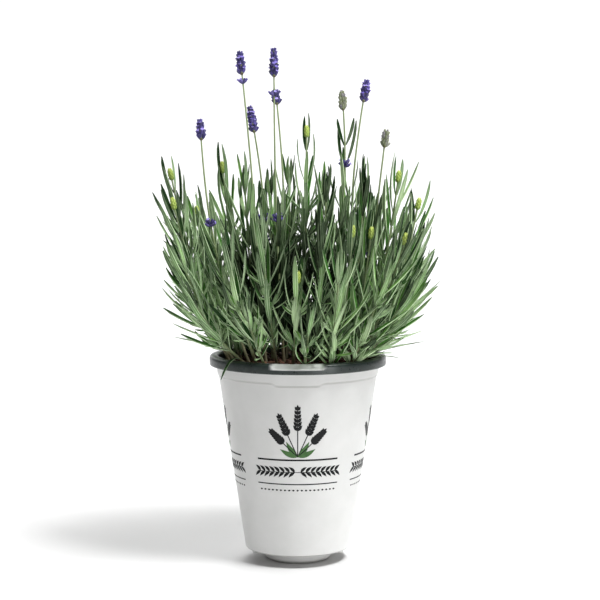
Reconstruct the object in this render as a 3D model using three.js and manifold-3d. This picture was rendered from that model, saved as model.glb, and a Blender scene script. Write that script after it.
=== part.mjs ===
// A lavender plant in a white nursery pot with a dark rolled rim.
// Millimetres, +Z up, the front of the pot towards -Y.
// The origin is the centre of the flat underside of the pot's base plug, which the pot stands on.
import * as THREE from "three";
import { mergeVertices } from "three/addons/utils/BufferGeometryUtils.js";
import Module from "manifold-3d";

const wasm = await Module();
wasm.setup();

// Driving dimensions: the pot.
const potHeight = 186; // floor to the top of the rim
const rimOuterRadius = 79.5;
const rimHeight = 9;
const rimSkin = 1.6;
const rimRoundness = 2.4; // how far the roll's corners are rounded off
const wallTopRadius = 72.8; // outside of the wall where it meets the rim
const wallFootRadius = 47.3; // outside of the wall at its lowest
const wallThickness = 1.2;
const wallFootRound = 3; // rounding of the corner at the foot of the wall
const collarHeight = 8.5; // the raised band under the rim
const collarProud = 1.2;
const plugHeight = 11; // the narrower step that touches the floor
const plugRadius = 32;
const plugTaper = 2;
const plugRound = 3;
const drainHoleRadius = 4;
const drainHoleCircle = 19;
const drainHoleCount = 4;
const lugRadius = 3.4;
const lugTaper = 0.8; // a lug's radius at its lower end, as a share of the upper
const lugInset = 0.3; // from the outside of the wall's foot to the outside of a lug
const lugDrop = 1.8; // how far a lug reaches below the foot of the wall
const lugRoot = 0.7; // how far a lug reaches up into the floor, as a share of its thickness
const lugCount = 3;
const tabHalfAngle = THREE.MathUtils.degToRad(18.5); // the flattened part of the rim, at the front
const tabFacetDepth = 4.2;
const tabEndAngle = THREE.MathUtils.degToRad(3);

// Driving dimensions: the potting mix.
const soilBelowRim = 9; // at the wall
const soilCrown = 4; // how much higher the mix is in the middle
const soilRings = 3;

// Driving dimensions: the plant.
const stemRadius = 1.3;
const stalkRadius = 0.95; // the bare stalk under a flower spike
const leafWidth = 4;
const leafThickness = 1.5;
const leafLength = 40;
const endLeafShare = 0.75; // length of a leaf at either end of a stem, as a share of leafLength
const middleLeafGain = 0.35; // how much is added to that share half way along the stem
const leafLengthRange = 0.12;
const shortestLeaf = 12;
const lowLeafSpread = THREE.MathUtils.degToRad(48); // between the stem and a leaf near its foot
const topLeafSpread = THREE.MathUtils.degToRad(20); // between the stem and a leaf at its tip
const leafSpreadRange = THREE.MathUtils.degToRad(6);
const lowLeafDroop = -0.16; // rise of a leaf's point, as a share of its length, near the stem's foot
const topLeafRise = 0.14; // the same at the stem's tip
const lowestLeaves = 0.3; // share of the stem below the first pair of leaves
const highestLeaves = 0.97;
const stemLeanOut = 0.62; // a stem leans out first and straightens up towards its tip
const stemLeanUp = 0.42;
const stalkStraight = 0.35; // share of a flower stalk that goes on in its stem's direction
const budLength = 11;
const budRadius = 2.6;
const spikeRadius = 4.2;
const spikeNeckRadius = 1.1;
const spikeRingPitch = 5.5;
const spikeWaist = 0.75; // radius between two rings of a spike, as a share of the ring's
const spikeFullest = 0.35; // a spike's outline is this part of a half wave, from 0 to 1
const spikeSlimmest = 0.85;
const stemSides = 5;
const budSides = 6;
const spikeSides = 8;

// Spaces between neighbours.
const gap = 0.3;
const potSides = 40;
const smallSides = 16; // lugs and drain holes
const cornerCut = 0.3; // where a two-step rounding turns, as a share of its size
const curveSteps = 24; // places where a stem is held clear of the rim

// Each shoot stands at foot [x, y] on the mix and leans out and up to its tip [x, y, height].
// x and y are in radii of the potting mix's top, and heights are in mm above the rim.
// pairs is its number of pairs of leaves, and size scales their length.
const leafyShoots = [
  { foot: [-0.84, -0.17], tip: [-1.57, -0.11, 157], pairs: 5, size: 1, bud: true },
  { foot: [-0.81, -0.36], tip: [-1.50, -0.59, 132], pairs: 5, size: 1, bud: true },
  { foot: [-0.70, 0.00], tip: [-1.26, 0.17, 123], pairs: 5, size: 1, bud: true },
  { foot: [-0.56, 0.17], tip: [-0.95, 0.31, 163], pairs: 5, size: 0.9, bud: true },
  { foot: [-0.48, -0.06], tip: [-0.66, -0.06, 146], pairs: 4, size: 1, bud: false },
  { foot: [-0.06, 0.20], tip: [-0.11, 0.31, 152], pairs: 4, size: 0.9, bud: false },
  { foot: [0.08, 0.00], tip: [0.11, 0.03, 195], pairs: 5, size: 0.85, bud: true },
  { foot: [0.22, -0.17], tip: [0.35, -0.25, 140], pairs: 4, size: 1, bud: false },
  { foot: [0.62, -0.22], tip: [0.81, -0.39, 140], pairs: 4, size: 1, bud: false },
  { foot: [0.81, -0.03], tip: [1.25, -0.06, 155], pairs: 5, size: 1, bud: true },
  { foot: [0.90, -0.17], tip: [1.49, -0.17, 131], pairs: 5, size: 1, bud: true },
  { foot: [0.79, -0.31], tip: [1.43, -0.62, 94], pairs: 4, size: 1, bud: false },
  { foot: [0.70, -0.50], tip: [1.26, -1.04, 103], pairs: 4, size: 0.95, bud: true },
  { foot: [0.48, -0.50], tip: [0.65, -1.01, 109], pairs: 4, size: 1, bud: true },
  { foot: [0.62, -0.36], tip: [0.88, -0.79, 107], pairs: 4, size: 0.95, bud: true },
  { foot: [-0.06, -0.65], tip: [0.00, -1.18, 71], pairs: 4, size: 0.9, bud: true },
  { foot: [0.67, -0.41], tip: [1.23, -0.87, 48], pairs: 3, size: 0.9, bud: false },
  { foot: [0.76, -0.18], tip: [1.37, -0.56, 58], pairs: 3, size: 0.9, bud: false },
  { foot: [-0.73, -0.39], tip: [-1.37, -0.70, 80], pairs: 4, size: 1, bud: false },
  { foot: [-0.59, -0.49], tip: [-1.23, -0.93, 50], pairs: 3, size: 0.95, bud: false },
  { foot: [-0.48, -0.62], tip: [-0.79, -1.21, 84], pairs: 4, size: 1, bud: false },
  { foot: [-0.25, -0.56], tip: [-0.42, -1.09, 102], pairs: 4, size: 1, bud: false },
  { foot: [0.20, -0.59], tip: [0.29, -1.15, 98], pairs: 4, size: 1, bud: false },
  { foot: [0.39, -0.70], tip: [0.48, -1.32, 72], pairs: 4, size: 1, bud: false },
  { foot: [0.62, -0.65], tip: [1.04, -1.18, 74], pairs: 4, size: 1, bud: false },
  { foot: [-0.36, -0.79], tip: [-0.59, -1.15, 40], pairs: 3, size: 0.7, bud: false },
  { foot: [0.06, -0.84], tip: [0.14, -1.21, 34], pairs: 3, size: 0.7, bud: false },
  { foot: [-0.70, 0.31], tip: [-1.29, 0.76, 114], pairs: 4, size: 1, bud: false },
  { foot: [-0.42, 0.53], tip: [-0.87, 1.23, 102], pairs: 4, size: 1, bud: false },
  { foot: [-0.25, 0.39], tip: [-0.36, 0.84, 140], pairs: 4, size: 1, bud: false },
  { foot: [-0.11, 0.76], tip: [-0.20, 1.46, 88], pairs: 4, size: 1, bud: false },
  { foot: [0.17, 0.48], tip: [0.34, 0.98, 134], pairs: 4, size: 1, bud: false },
  { foot: [0.34, 0.76], tip: [0.56, 1.51, 84], pairs: 4, size: 1, bud: false },
  { foot: [0.56, 0.50], tip: [1.01, 1.04, 114], pairs: 4, size: 1, bud: false },
  { foot: [0.81, 0.31], tip: [1.37, 0.65, 102], pairs: 4, size: 1, bud: false },
  { foot: [-0.77, 0.17], tip: [-1.49, 0.36, 68], pairs: 3, size: 0.95, bud: false },
  { foot: [0.77, 0.08], tip: [1.49, 0.28, 64], pairs: 3, size: 0.95, bud: false },
  { foot: [-0.48, 0.70], tip: [-1.04, 1.26, 52], pairs: 3, size: 0.85, bud: false },
  { foot: [0.06, 0.67], tip: [0.11, 1.57, 44], pairs: 3, size: 0.85, bud: false },
  { foot: [0.50, 0.62], tip: [1.12, 1.21, 52], pairs: 3, size: 0.85, bud: false },
];

// A flowering shoot is a leafy shoot whose stem goes on as a bare stalk to the foot of its spike.
// long is the spike's length, and whorl is the bare length above a separate lowest ring of flowers.
// An unripe spike is still grey-green.
const floweringShoots = [
  {
    foot: [-0.59, -0.36], tip: [-1.07, -0.45, 118], pairs: 5, size: 1,
    spike: [-1.18, -0.42, 191], long: 19, whorl: 0, unripe: false,
  },
  {
    foot: [-0.39, -0.36], tip: [-0.53, -0.39, 124], pairs: 4, size: 1,
    spike: [-0.67, -0.34, 240], long: 21, whorl: 4, unripe: false,
  },
  {
    foot: [-0.31, -0.11], tip: [-0.43, -0.11, 136], pairs: 4, size: 1,
    spike: [-0.54, -0.11, 198], long: 24, whorl: 0, unripe: false,
  },
  {
    foot: [-0.17, -0.31], tip: [-0.27, -0.31, 140], pairs: 4, size: 1,
    spike: [-0.29, -0.28, 229], long: 26, whorl: 13, unripe: false,
  },
  {
    foot: [-0.14, -0.06], tip: [-0.18, 0.03, 144], pairs: 3, size: 0.9,
    spike: [-0.26, 0.08, 223], long: 14, whorl: 0, unripe: false,
  },
  {
    foot: [0.42, 0.00], tip: [0.59, 0.06, 170], pairs: 6, size: 0.9,
    spike: [0.57, 0.06, 218], long: 18, whorl: 0, unripe: true,
  },
  {
    foot: [0.56, 0.20], tip: [0.70, 0.31, 148], pairs: 4, size: 1,
    spike: [0.83, 0.34, 226], long: 21, whorl: 0, unripe: false,
  },
  {
    foot: [0.70, 0.08], tip: [1.00, 0.14, 130], pairs: 5, size: 1,
    spike: [1.09, 0.17, 185], long: 17, whorl: 0, unripe: true,
  },
];

// ---------------------------------------------------------------------------------------------
// Joining and cutting

// A three.js geometry as a manifold-3d solid: only positions, with shared corners merged.
function toSolid(geometry) {
  const bare = new THREE.BufferGeometry();
  bare.setAttribute("position", geometry.getAttribute("position"));
  if (geometry.index) {
    bare.setIndex(geometry.index);
  }
  const merged = mergeVertices(bare, 1e-3);
  return new wasm.Manifold(
    new wasm.Mesh({
      numProp: 3,
      vertProperties: new Float32Array(merged.attributes.position.array),
      triVerts: new Uint32Array(merged.index.array),
    }),
  );
}

// A manifold-3d solid back as a three.js geometry.
function toGeometry(solid) {
  const mesh = solid.getMesh();
  const geometry = new THREE.BufferGeometry();
  geometry.setAttribute("position", new THREE.BufferAttribute(mesh.vertProperties, 3));
  geometry.setIndex(new THREE.BufferAttribute(mesh.triVerts, 1));
  geometry.computeVertexNormals();
  return geometry;
}

function joined(geometries) {
  let solid = toSolid(geometries[0]);
  for (const geometry of geometries.slice(1)) {
    solid = solid.add(toSolid(geometry));
  }
  return toGeometry(solid);
}

// ---------------------------------------------------------------------------------------------
// Materials

const whitePlastic = { color: 0xe9e9e6, roughness: 0.35, metalness: 0 };
const darkPlastic = { color: 0x2c3836, roughness: 0.4, metalness: 0 };
const barkMix = { color: 0x46281d, roughness: 0.95, metalness: 0 };
const greyGreenLeaf = { color: 0x6d8c55, roughness: 0.7, metalness: 0 };
const purpleFlower = { color: 0x3d3380, roughness: 0.85, metalness: 0 };
const unripeFlower = { color: 0x8d9678, roughness: 0.85, metalness: 0 };

const lavender = new THREE.Group();

function addPart(name, geometry, finish) {
  const mesh = new THREE.Mesh(geometry, new THREE.MeshStandardMaterial(finish));
  mesh.name = name;
  lavender.add(mesh);
}

// A solid of revolution about +Z from a profile of [radius, height] points.
function turned(profile, sides) {
  const points = profile.map(([radius, height]) => new THREE.Vector2(radius, height));
  return new THREE.LatheGeometry(points, sides).rotateX(Math.PI / 2);
}

// ---------------------------------------------------------------------------------------------
// The pot body: a thin tapered wall, a collar under the rim, and a stepped base plug

const wallTop = potHeight - rimHeight - gap;
const wallFoot = plugHeight;

// Outside radius of the tapered wall at a height.
function wallRadius(height) {
  return THREE.MathUtils.mapLinear(height, wallFoot, wallTop, wallFootRadius, wallTopRadius);
}

function potProfile() {
  const collarFoot = wallTop - collarHeight;
  const roundFoot = wallFoot + wallFootRound;
  const innerPlugRadius = plugRadius - wallThickness;
  const innerFoot = wallFoot + wallThickness;
  return [
    [0, 0],
    [plugRadius - plugTaper - plugRound, 0],
    [plugRadius - plugTaper, plugRound],
    [plugRadius, wallFoot],
    [wallFootRadius - wallFootRound, wallFoot],
    [wallFootRadius - wallFootRound * cornerCut, wallFoot + wallFootRound * cornerCut],
    [wallRadius(roundFoot), roundFoot],
    [wallRadius(collarFoot - collarProud), collarFoot - collarProud],
    [wallRadius(collarFoot) + collarProud, collarFoot],
    [wallRadius(wallTop) + collarProud, wallTop],
    [wallRadius(wallTop) - wallThickness, wallTop],
    [wallRadius(innerFoot) - wallThickness, innerFoot],
    [innerPlugRadius, innerFoot],
    [innerPlugRadius - plugTaper, wallThickness],
    [0, wallThickness],
  ];
}

function potBody() {
  let body = toSolid(turned(potProfile(), potSides));
  for (let i = 0; i < lugCount; i++) {
    const angle = ((i + 0.5) / lugCount) * 2 * Math.PI - Math.PI / 2;
    const lugHeight = lugDrop + wallThickness * lugRoot;
    const distance = wallFootRadius - lugInset - lugRadius;
    const lug = new THREE.CylinderGeometry(lugRadius, lugRadius * lugTaper, lugHeight, smallSides)
      .rotateX(Math.PI / 2)
      .translate(
        distance * Math.cos(angle),
        distance * Math.sin(angle),
        wallFoot - lugDrop + lugHeight / 2,
      );
    body = body.add(toSolid(lug));
  }
  for (let i = 0; i < drainHoleCount; i++) {
    const angle = ((i + 0.5) / drainHoleCount) * 2 * Math.PI;
    const hole = new THREE.CylinderGeometry(drainHoleRadius, drainHoleRadius, wallThickness * 4, smallSides)
      .rotateX(Math.PI / 2)
      .translate(drainHoleCircle * Math.cos(angle), drainHoleCircle * Math.sin(angle), 0);
    body = body.subtract(toSolid(hole));
  }
  return toGeometry(body);
}

// ---------------------------------------------------------------------------------------------
// The pot rim: a rolled band, open underneath, whose front is pressed to a sloping facet

const rimInnerRadius = wallTopRadius - wallThickness;
const rimFoot = potHeight - rimHeight;

function rimProfile() {
  const innerCurl = rimInnerRadius + rimSkin;
  const outerCurl = rimOuterRadius - rimSkin;
  const curlTop = potHeight - rimSkin;
  const innerRound = rimRoundness - rimSkin;
  return [
    [rimInnerRadius, rimFoot],
    [innerCurl, rimFoot],
    [innerCurl, curlTop - innerRound],
    [innerCurl + innerRound, curlTop],
    [outerCurl - innerRound, curlTop],
    [outerCurl, curlTop - innerRound],
    [outerCurl, rimFoot],
    [rimOuterRadius - rimSkin / 2, rimFoot],
    [rimOuterRadius, rimFoot + rimSkin / 2],
    [rimOuterRadius, potHeight - rimRoundness],
    [rimOuterRadius - rimRoundness * cornerCut, potHeight - rimRoundness * cornerCut],
    [rimOuterRadius - rimRoundness, potHeight],
    [rimInnerRadius + rimRoundness, potHeight],
    [rimInnerRadius, potHeight - rimRoundness],
    [rimInnerRadius, rimFoot],
  ];
}

// How much of the front facet a rim point at this angle has: 1 on the facet and 0 away from it.
function tabShare(x, y) {
  const away = Math.abs(Math.atan2(x, -y));
  return 1 - THREE.MathUtils.smoothstep(away, tabHalfAngle - tabEndAngle, tabHalfAngle);
}

function potRim() {
  const rim = turned(rimProfile(), potSides);
  const position = rim.getAttribute("position");
  const slopeStart = rimInnerRadius + rimRoundness;
  const slopeRun = rimOuterRadius - slopeStart;
  for (let i = 0; i < position.count; i++) {
    const x = position.getX(i);
    const y = position.getY(i);
    const height = position.getZ(i);
    const across = (Math.hypot(x, y) - slopeStart) / slopeRun;
    const above = (height - rimFoot) / rimHeight;
    const press = THREE.MathUtils.clamp(across, 0, 1) * tabFacetDepth * tabShare(x, y);
    position.setZ(i, height - press * THREE.MathUtils.clamp(above, 0, 1));
  }
  return rim;
}

// ---------------------------------------------------------------------------------------------
// The potting mix: it fills the pot to just under the rim and is a little higher in the middle

const soilEdge = potHeight - soilBelowRim;
const soilTopRadius = wallTopRadius - wallThickness - gap;

function soilHeight(distance) {
  return soilEdge + soilCrown * (1 - (distance / soilTopRadius) ** 2);
}

function pottingMix() {
  const innerPlugRadius = plugRadius - wallThickness;
  const innerFoot = wallFoot + wallThickness;
  const shoulder = wallTop - gap;
  const profile = [
    [0, wallThickness + gap],
    [innerPlugRadius - plugTaper - gap * 2, wallThickness + gap],
    [innerPlugRadius - gap * 2, innerFoot + gap],
    [wallRadius(innerFoot) - wallThickness - gap, innerFoot + gap],
    [wallRadius(shoulder) - wallThickness - gap, shoulder],
    [soilTopRadius, Math.max(soilEdge, shoulder)],
  ];
  for (let ring = soilRings; ring > 0; ring--) {
    const distance = ((ring - 0.5) / soilRings) * soilTopRadius;
    profile.push([distance, soilHeight(distance)]);
  }
  profile.push([0, soilHeight(0)]);
  return turned(profile, potSides);
}

// ---------------------------------------------------------------------------------------------
// Stems, leaves and the room that each leaf needs

// A repeatable number from 0 to 1 for the small differences between leaves.
function chance(seed) {
  const wave = Math.sin(seed * 12.9898 + 4.1414) * 43758.5453;
  return wave - Math.floor(wave);
}

// A place [x, y, height] of the shoot tables in millimetres from the origin.
function plantPoint([x, y, height]) {
  return new THREE.Vector3(x * soilTopRadius, y * soilTopRadius, potHeight + height);
}

// Whether a stem passes over the rim and not through it.
function clearsRim(curve) {
  const room = stemRadius + gap;
  return curve.getSpacedPoints(curveSteps).every((point) => {
    const distance = Math.hypot(point.x, point.y);
    const overRim = distance > rimInnerRadius - room && distance < rimOuterRadius + room;
    return !overRim || point.z > potHeight + room;
  });
}

// The middle line of a stem, bent up at its foot where it would meet the rim.
function stemCurve(shoot) {
  const foot = plantPoint([...shoot.foot, 0]);
  foot.z = soilHeight(Math.hypot(foot.x, foot.y)) + gap + stemRadius;
  const tip = plantPoint(shoot.tip);
  const middle = new THREE.Vector3(
    THREE.MathUtils.lerp(foot.x, tip.x, stemLeanOut),
    THREE.MathUtils.lerp(foot.y, tip.y, stemLeanOut),
    THREE.MathUtils.lerp(foot.z, tip.z, stemLeanUp),
  );
  const curve = new THREE.QuadraticBezierCurve3(foot, middle, tip);
  while (!clearsRim(curve) && middle.z < tip.z) {
    middle.z += 1;
    curve.updateArcLengths();
  }
  return curve;
}

function tube(curve, radius, sides, steps) {
  const section = new THREE.Shape();
  for (let i = 0; i < sides; i++) {
    const angle = (i / sides) * 2 * Math.PI;
    if (i === 0) {
      section.moveTo(radius, 0);
    } else {
      section.lineTo(radius * Math.cos(angle), radius * Math.sin(angle));
    }
  }
  return new THREE.ExtrudeGeometry(section, { steps, extrudePath: curve, bevelEnabled: false });
}

// The middle line of a leaf: it leaves its stem at from, heads along direction, and bends with bend.
function leafPoint(leaf, share) {
  return leaf.from
    .clone()
    .addScaledVector(leaf.direction, leaf.length * share)
    .addScaledVector(leaf.bend, leaf.length * share * share);
}

// A leaf's half width at shares of its length.
const leafOutline = [
  [0, 0],
  [1, 0.38],
  [0.8, 0.72],
  [0, 1],
];

// A narrow leaf: a three-sided spindle, keeled underneath, bent along its middle line.
function leafGeometry(leaf) {
  const points = leafOutline.map(([radius, share]) => new THREE.Vector2(radius, share));
  const geometry = new THREE.LatheGeometry(points, 3);
  const position = geometry.getAttribute("position");
  const across = new THREE.Vector3().crossVectors(leaf.direction, leaf.face);
  for (let i = 0; i < position.count; i++) {
    const point = leafPoint(leaf, position.getY(i))
      .addScaledVector(across, (position.getX(i) * leafWidth) / Math.sqrt(3))
      .addScaledVector(leaf.face, (position.getZ(i) * leafThickness) / 1.5);
    position.setXYZ(i, point.x, point.y, point.z);
  }
  return geometry;
}

// The shortest distance between segments a-b and c-d.
function segmentDistance(a, b, c, d) {
  const u = b.clone().sub(a);
  const v = d.clone().sub(c);
  const w = a.clone().sub(c);
  const uu = u.dot(u);
  const uv = u.dot(v);
  const vv = v.dot(v);
  const uw = u.dot(w);
  const vw = v.dot(w);
  const spread = uu * vv - uv * uv;
  let s = spread > 1e-9 ? THREE.MathUtils.clamp((uv * vw - vv * uw) / spread, 0, 1) : 0;
  const t = THREE.MathUtils.clamp((uv * s + vw) / vv, 0, 1);
  s = THREE.MathUtils.clamp((uv * t - uw) / uu, 0, 1);
  const nearA = a.clone().addScaledVector(u, s);
  const nearC = c.clone().addScaledVector(v, t);
  return nearA.distanceTo(nearC);
}

// Everything grown so far, as thick segments {start, end, radius, owner}.
const grown = [];

function remember(points, radius, owner) {
  for (let i = 1; i < points.length; i++) {
    grown.push({ start: points[i - 1], end: points[i], radius, owner });
  }
}

// The lowest that a leaf may hang at a distance from the pot's axis.
function lowestAt(distance) {
  const clear = leafWidth / 2 + gap;
  if (distance > rimOuterRadius + clear) {
    return wallFoot;
  }
  if (distance > rimInnerRadius - clear) {
    return potHeight + clear;
  }
  return soilHeight(distance) + clear;
}

function leafFits(leaf, owner) {
  const points = [0, 0.33, 0.66, 1].map((share) => leafPoint(leaf, share));
  const radius = leafWidth / 2;
  for (const point of points.slice(1)) {
    if (point.z < lowestAt(Math.hypot(point.x, point.y))) {
      return false;
    }
  }
  for (const other of grown) {
    if (other.owner === owner) {
      continue;
    }
    const room = radius + other.radius + gap;
    if (other.start.distanceTo(leaf.from) > leaf.length * 2 + room) {
      continue;
    }
    for (let i = 1; i < points.length; i++) {
      if (segmentDistance(points[i - 1], points[i], other.start, other.end) < room) {
        return false;
      }
    }
  }
  remember(points, radius, owner);
  return true;
}

// What a leaf tries in turn to keep clear: shares of its full length, and turns about its stem in degrees.
const leafShrinks = [1, 0.85, 0.7, 0.5, 0.35];
const leafTurns = [0, 14, -14, 28, -28, 42, -42, 56, -56];

// The leaf on one side of a node. It turns a little, or stays shorter, to keep clear of its neighbours.
function growLeaf(shoot, curve, share, turn, seed) {
  const from = curve.getPointAt(share);
  const axis = curve.getTangentAt(share);
  const sideways = new THREE.Vector3(0, 0, 1).cross(axis);
  if (sideways.length() < 1e-3) {
    sideways.set(1, 0, 0);
  }
  sideways.normalize();
  const spread =
    THREE.MathUtils.lerp(lowLeafSpread, topLeafSpread, share) + leafSpreadRange * chance(seed);
  const fullness =
    endLeafShare + middleLeafGain * Math.sin(Math.PI * share) + leafLengthRange * chance(seed + 7);
  const full = leafLength * shoot.size * fullness;
  const bend = new THREE.Vector3(0, 0, THREE.MathUtils.lerp(lowLeafDroop, topLeafRise, share));
  for (const shrink of leafShrinks) {
    for (const nudge of leafTurns) {
      const out = sideways.clone().applyAxisAngle(axis, turn + THREE.MathUtils.degToRad(nudge));
      const direction = axis
        .clone()
        .multiplyScalar(Math.cos(spread))
        .addScaledVector(out, Math.sin(spread));
      const face = axis.clone().addScaledVector(direction, -axis.dot(direction)).normalize();
      const length = Math.max(full * shrink, shortestLeaf);
      const leaf = { from, direction, face, bend, length };
      if (leafFits(leaf, shoot.name)) {
        return leaf;
      }
    }
  }
  return null;
}

// A bud's radius, as a share of budRadius, at shares of its length.
const budOutline = [
  [0, 0],
  [1, 0.35],
  [0.75, 0.75],
  [0, 1],
];

// A closed flower bud at the end of a shoot, seated over the end of the stem.
function budGeometry(curve) {
  const end = curve.getPointAt(1);
  const axis = curve.getTangentAt(1);
  const points = budOutline.map(
    ([radius, share]) => new THREE.Vector2(radius * budRadius, share * budLength),
  );
  const bud = new THREE.LatheGeometry(points, budSides);
  const upright = new THREE.Quaternion().setFromUnitVectors(new THREE.Vector3(0, 1, 0), axis);
  return bud.applyQuaternion(upright).translate(...end.addScaledVector(axis, -2 * stemRadius).toArray());
}

// The bare stalk of a flowering shoot, from inside the end of its leafy stem to just under the spike.
function stalkCurve(shoot) {
  const tip = shoot.curve.getPointAt(1);
  const axis = shoot.curve.getTangentAt(1);
  const end = plantPoint(shoot.spike);
  const start = tip.clone().addScaledVector(axis, -2 * stemRadius);
  const middle = tip.clone().addScaledVector(axis, tip.distanceTo(end) * stalkStraight);
  return new THREE.QuadraticBezierCurve3(start, middle, end);
}

// The line along the middle of a flower spike, from its seat on the stalk to its point.
function spikeLine(shoot) {
  const axis = shoot.stalk.getTangentAt(1);
  const seat = shoot.stalk.getPointAt(1).addScaledVector(axis, gap);
  const ringLength = shoot.whorl > 0 ? spikeRadius + shoot.whorl : 0;
  return [seat, seat.clone().addScaledVector(axis, ringLength + shoot.long)];
}

// ---------------------------------------------------------------------------------------------
// Growing the plant: every stem first, then the leaves pair by pair

const shoots = [
  ...leafyShoots.map((shoot, i) => ({ ...shoot, name: `leafy_shoot_${String(i + 1).padStart(2, "0")}` })),
  ...floweringShoots.map((shoot, i) => ({ ...shoot, name: `flowering_shoot_${i + 1}` })),
];

const stemSteps = 4;
for (const shoot of shoots) {
  shoot.curve = stemCurve(shoot);
  shoot.pieces = [tube(shoot.curve, stemRadius, stemSides, stemSteps)];
  remember(shoot.curve.getSpacedPoints(stemSteps), stemRadius, shoot.name);
  if (shoot.bud) {
    shoot.pieces.push(budGeometry(shoot.curve));
    const tip = shoot.curve.getPointAt(1);
    const axis = shoot.curve.getTangentAt(1);
    remember([tip, tip.clone().addScaledVector(axis, budLength)], budRadius, shoot.name);
  }
  if (shoot.spike) {
    shoot.stalk = stalkCurve(shoot);
    shoot.pieces.push(tube(shoot.stalk, stalkRadius, stemSides, stemSteps));
    remember(shoot.stalk.getSpacedPoints(stemSteps), stalkRadius, shoot.name);
    remember(spikeLine(shoot), spikeRadius, "spike");
  }
}

const mostPairs = Math.max(...shoots.map((shoot) => shoot.pairs));
for (let pair = mostPairs - 1; pair >= 0; pair--) {
  for (const [index, shoot] of shoots.entries()) {
    if (pair >= shoot.pairs) {
      continue;
    }
    const share = THREE.MathUtils.lerp(lowestLeaves, highestLeaves, pair / (shoot.pairs - 1));
    const seed = index * 31 + pair * 7;
    const turn = (pair % 2) * (Math.PI / 2) + 0.6 * chance(seed);
    for (const side of [0, Math.PI]) {
      const leaf = growLeaf(shoot, shoot.curve, share, turn + side, seed + side);
      if (leaf) {
        shoot.pieces.push(leafGeometry(leaf));
      }
    }
  }
}

// A spike of flowers: rings of flowers close together on the end of the stalk, drawn in between rings.
function spikeGeometry(shoot) {
  const rings = Math.round(shoot.long / spikeRingPitch);
  const profile = [[0, 0]];
  if (shoot.whorl > 0) {
    profile.push([spikeRadius * spikeWaist, spikeRadius / 2]);
    profile.push([spikeNeckRadius, spikeRadius]);
    profile.push([spikeNeckRadius, spikeRadius + shoot.whorl]);
  }
  const start = shoot.whorl > 0 ? spikeRadius + shoot.whorl : 0;
  for (let ring = 0; ring < rings; ring++) {
    const wave = THREE.MathUtils.lerp(spikeFullest, spikeSlimmest, ring / rings);
    const fullness = Math.sin(Math.PI * wave);
    profile.push([spikeRadius * fullness, start + ((ring + 0.5) / rings) * shoot.long]);
    if (ring < rings - 1) {
      profile.push([spikeRadius * fullness * spikeWaist, start + ((ring + 1) / rings) * shoot.long]);
    }
  }
  profile.push([0, start + shoot.long]);
  const [seat] = spikeLine(shoot);
  const axis = shoot.stalk.getTangentAt(1);
  const upright = new THREE.Quaternion().setFromUnitVectors(new THREE.Vector3(0, 0, 1), axis);
  return turned(profile, spikeSides).applyQuaternion(upright).translate(...seat.toArray());
}

addPart("pot_body", potBody(), whitePlastic);
addPart("pot_rim", potRim(), darkPlastic);
addPart("potting_mix", pottingMix(), barkMix);
for (const shoot of shoots) {
  addPart(shoot.name, joined(shoot.pieces), greyGreenLeaf);
}
for (const [index, shoot] of shoots.filter((each) => each.spike).entries()) {
  addPart(`flower_spike_${index + 1}`, spikeGeometry(shoot), shoot.unripe ? unripeFlower : purpleFlower);
}

export default lavender;
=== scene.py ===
import math
import random

import bmesh
import bpy
from mathutils import Matrix, Vector


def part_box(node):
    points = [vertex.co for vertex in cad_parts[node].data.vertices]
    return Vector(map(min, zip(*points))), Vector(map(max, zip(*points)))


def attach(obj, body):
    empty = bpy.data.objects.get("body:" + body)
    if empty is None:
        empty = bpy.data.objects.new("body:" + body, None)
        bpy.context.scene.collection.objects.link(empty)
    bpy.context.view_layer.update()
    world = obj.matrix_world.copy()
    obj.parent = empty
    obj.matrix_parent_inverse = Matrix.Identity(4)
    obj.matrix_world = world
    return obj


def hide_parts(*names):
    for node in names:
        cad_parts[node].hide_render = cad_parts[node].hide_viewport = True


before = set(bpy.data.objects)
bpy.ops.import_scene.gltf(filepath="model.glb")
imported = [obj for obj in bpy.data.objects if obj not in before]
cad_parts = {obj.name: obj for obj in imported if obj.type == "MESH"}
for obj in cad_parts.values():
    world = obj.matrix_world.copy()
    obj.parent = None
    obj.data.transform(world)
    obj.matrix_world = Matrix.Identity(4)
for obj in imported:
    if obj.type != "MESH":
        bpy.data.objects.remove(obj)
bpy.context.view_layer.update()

MM = 0.001


# ------------------------------------------------------------------------------------------------
# Pot body. One thin tapered wall of white polypropylene, moulded in one shot with a shallow collar
# under the rim, three small stacking lugs at the foot and a narrower stepped plug that it stands on.

POT_SIDES = 192
WALL = 1.2 * MM
COLLAR_HEIGHT = 8.5 * MM
COLLAR_PROUD = 0.9 * MM
COLLAR_STEP_LOW, COLLAR_STEP_HIGH = -1.6 * MM, 1.4 * MM      # of its sloping edge, from its foot
FOOT_ROUND = 1.4 * MM
PLUG_RADIUS = 32 * MM
PLUG_TAPER = 2 * MM
DRAIN_RADIUS = 4 * MM
DRAIN_CIRCLE = 19 * MM
TAB_HALF_ANGLE = math.radians(18.5)
TAB_END_ANGLE = math.radians(3.5)
TAB_COLLAR_DROP = 2.4 * MM

_, pot_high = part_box("pot_body")
rim_low, rim_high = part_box("pot_rim")
wall_foot = 11 * MM
wall_top = pot_high.z
wall_foot_radius = 47.3 * MM
wall_top_radius = 72.8 * MM


def smooth_step(value, start, end):
    share = min(max((value - start) / (end - start), 0.0), 1.0)
    return share * share * (3 - 2 * share)


def mix(a, b, share):
    return a + (b - a) * share


def wall_radius(height):
    return mix(wall_foot_radius, wall_top_radius, (height - wall_foot) / (wall_top - wall_foot))


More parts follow.
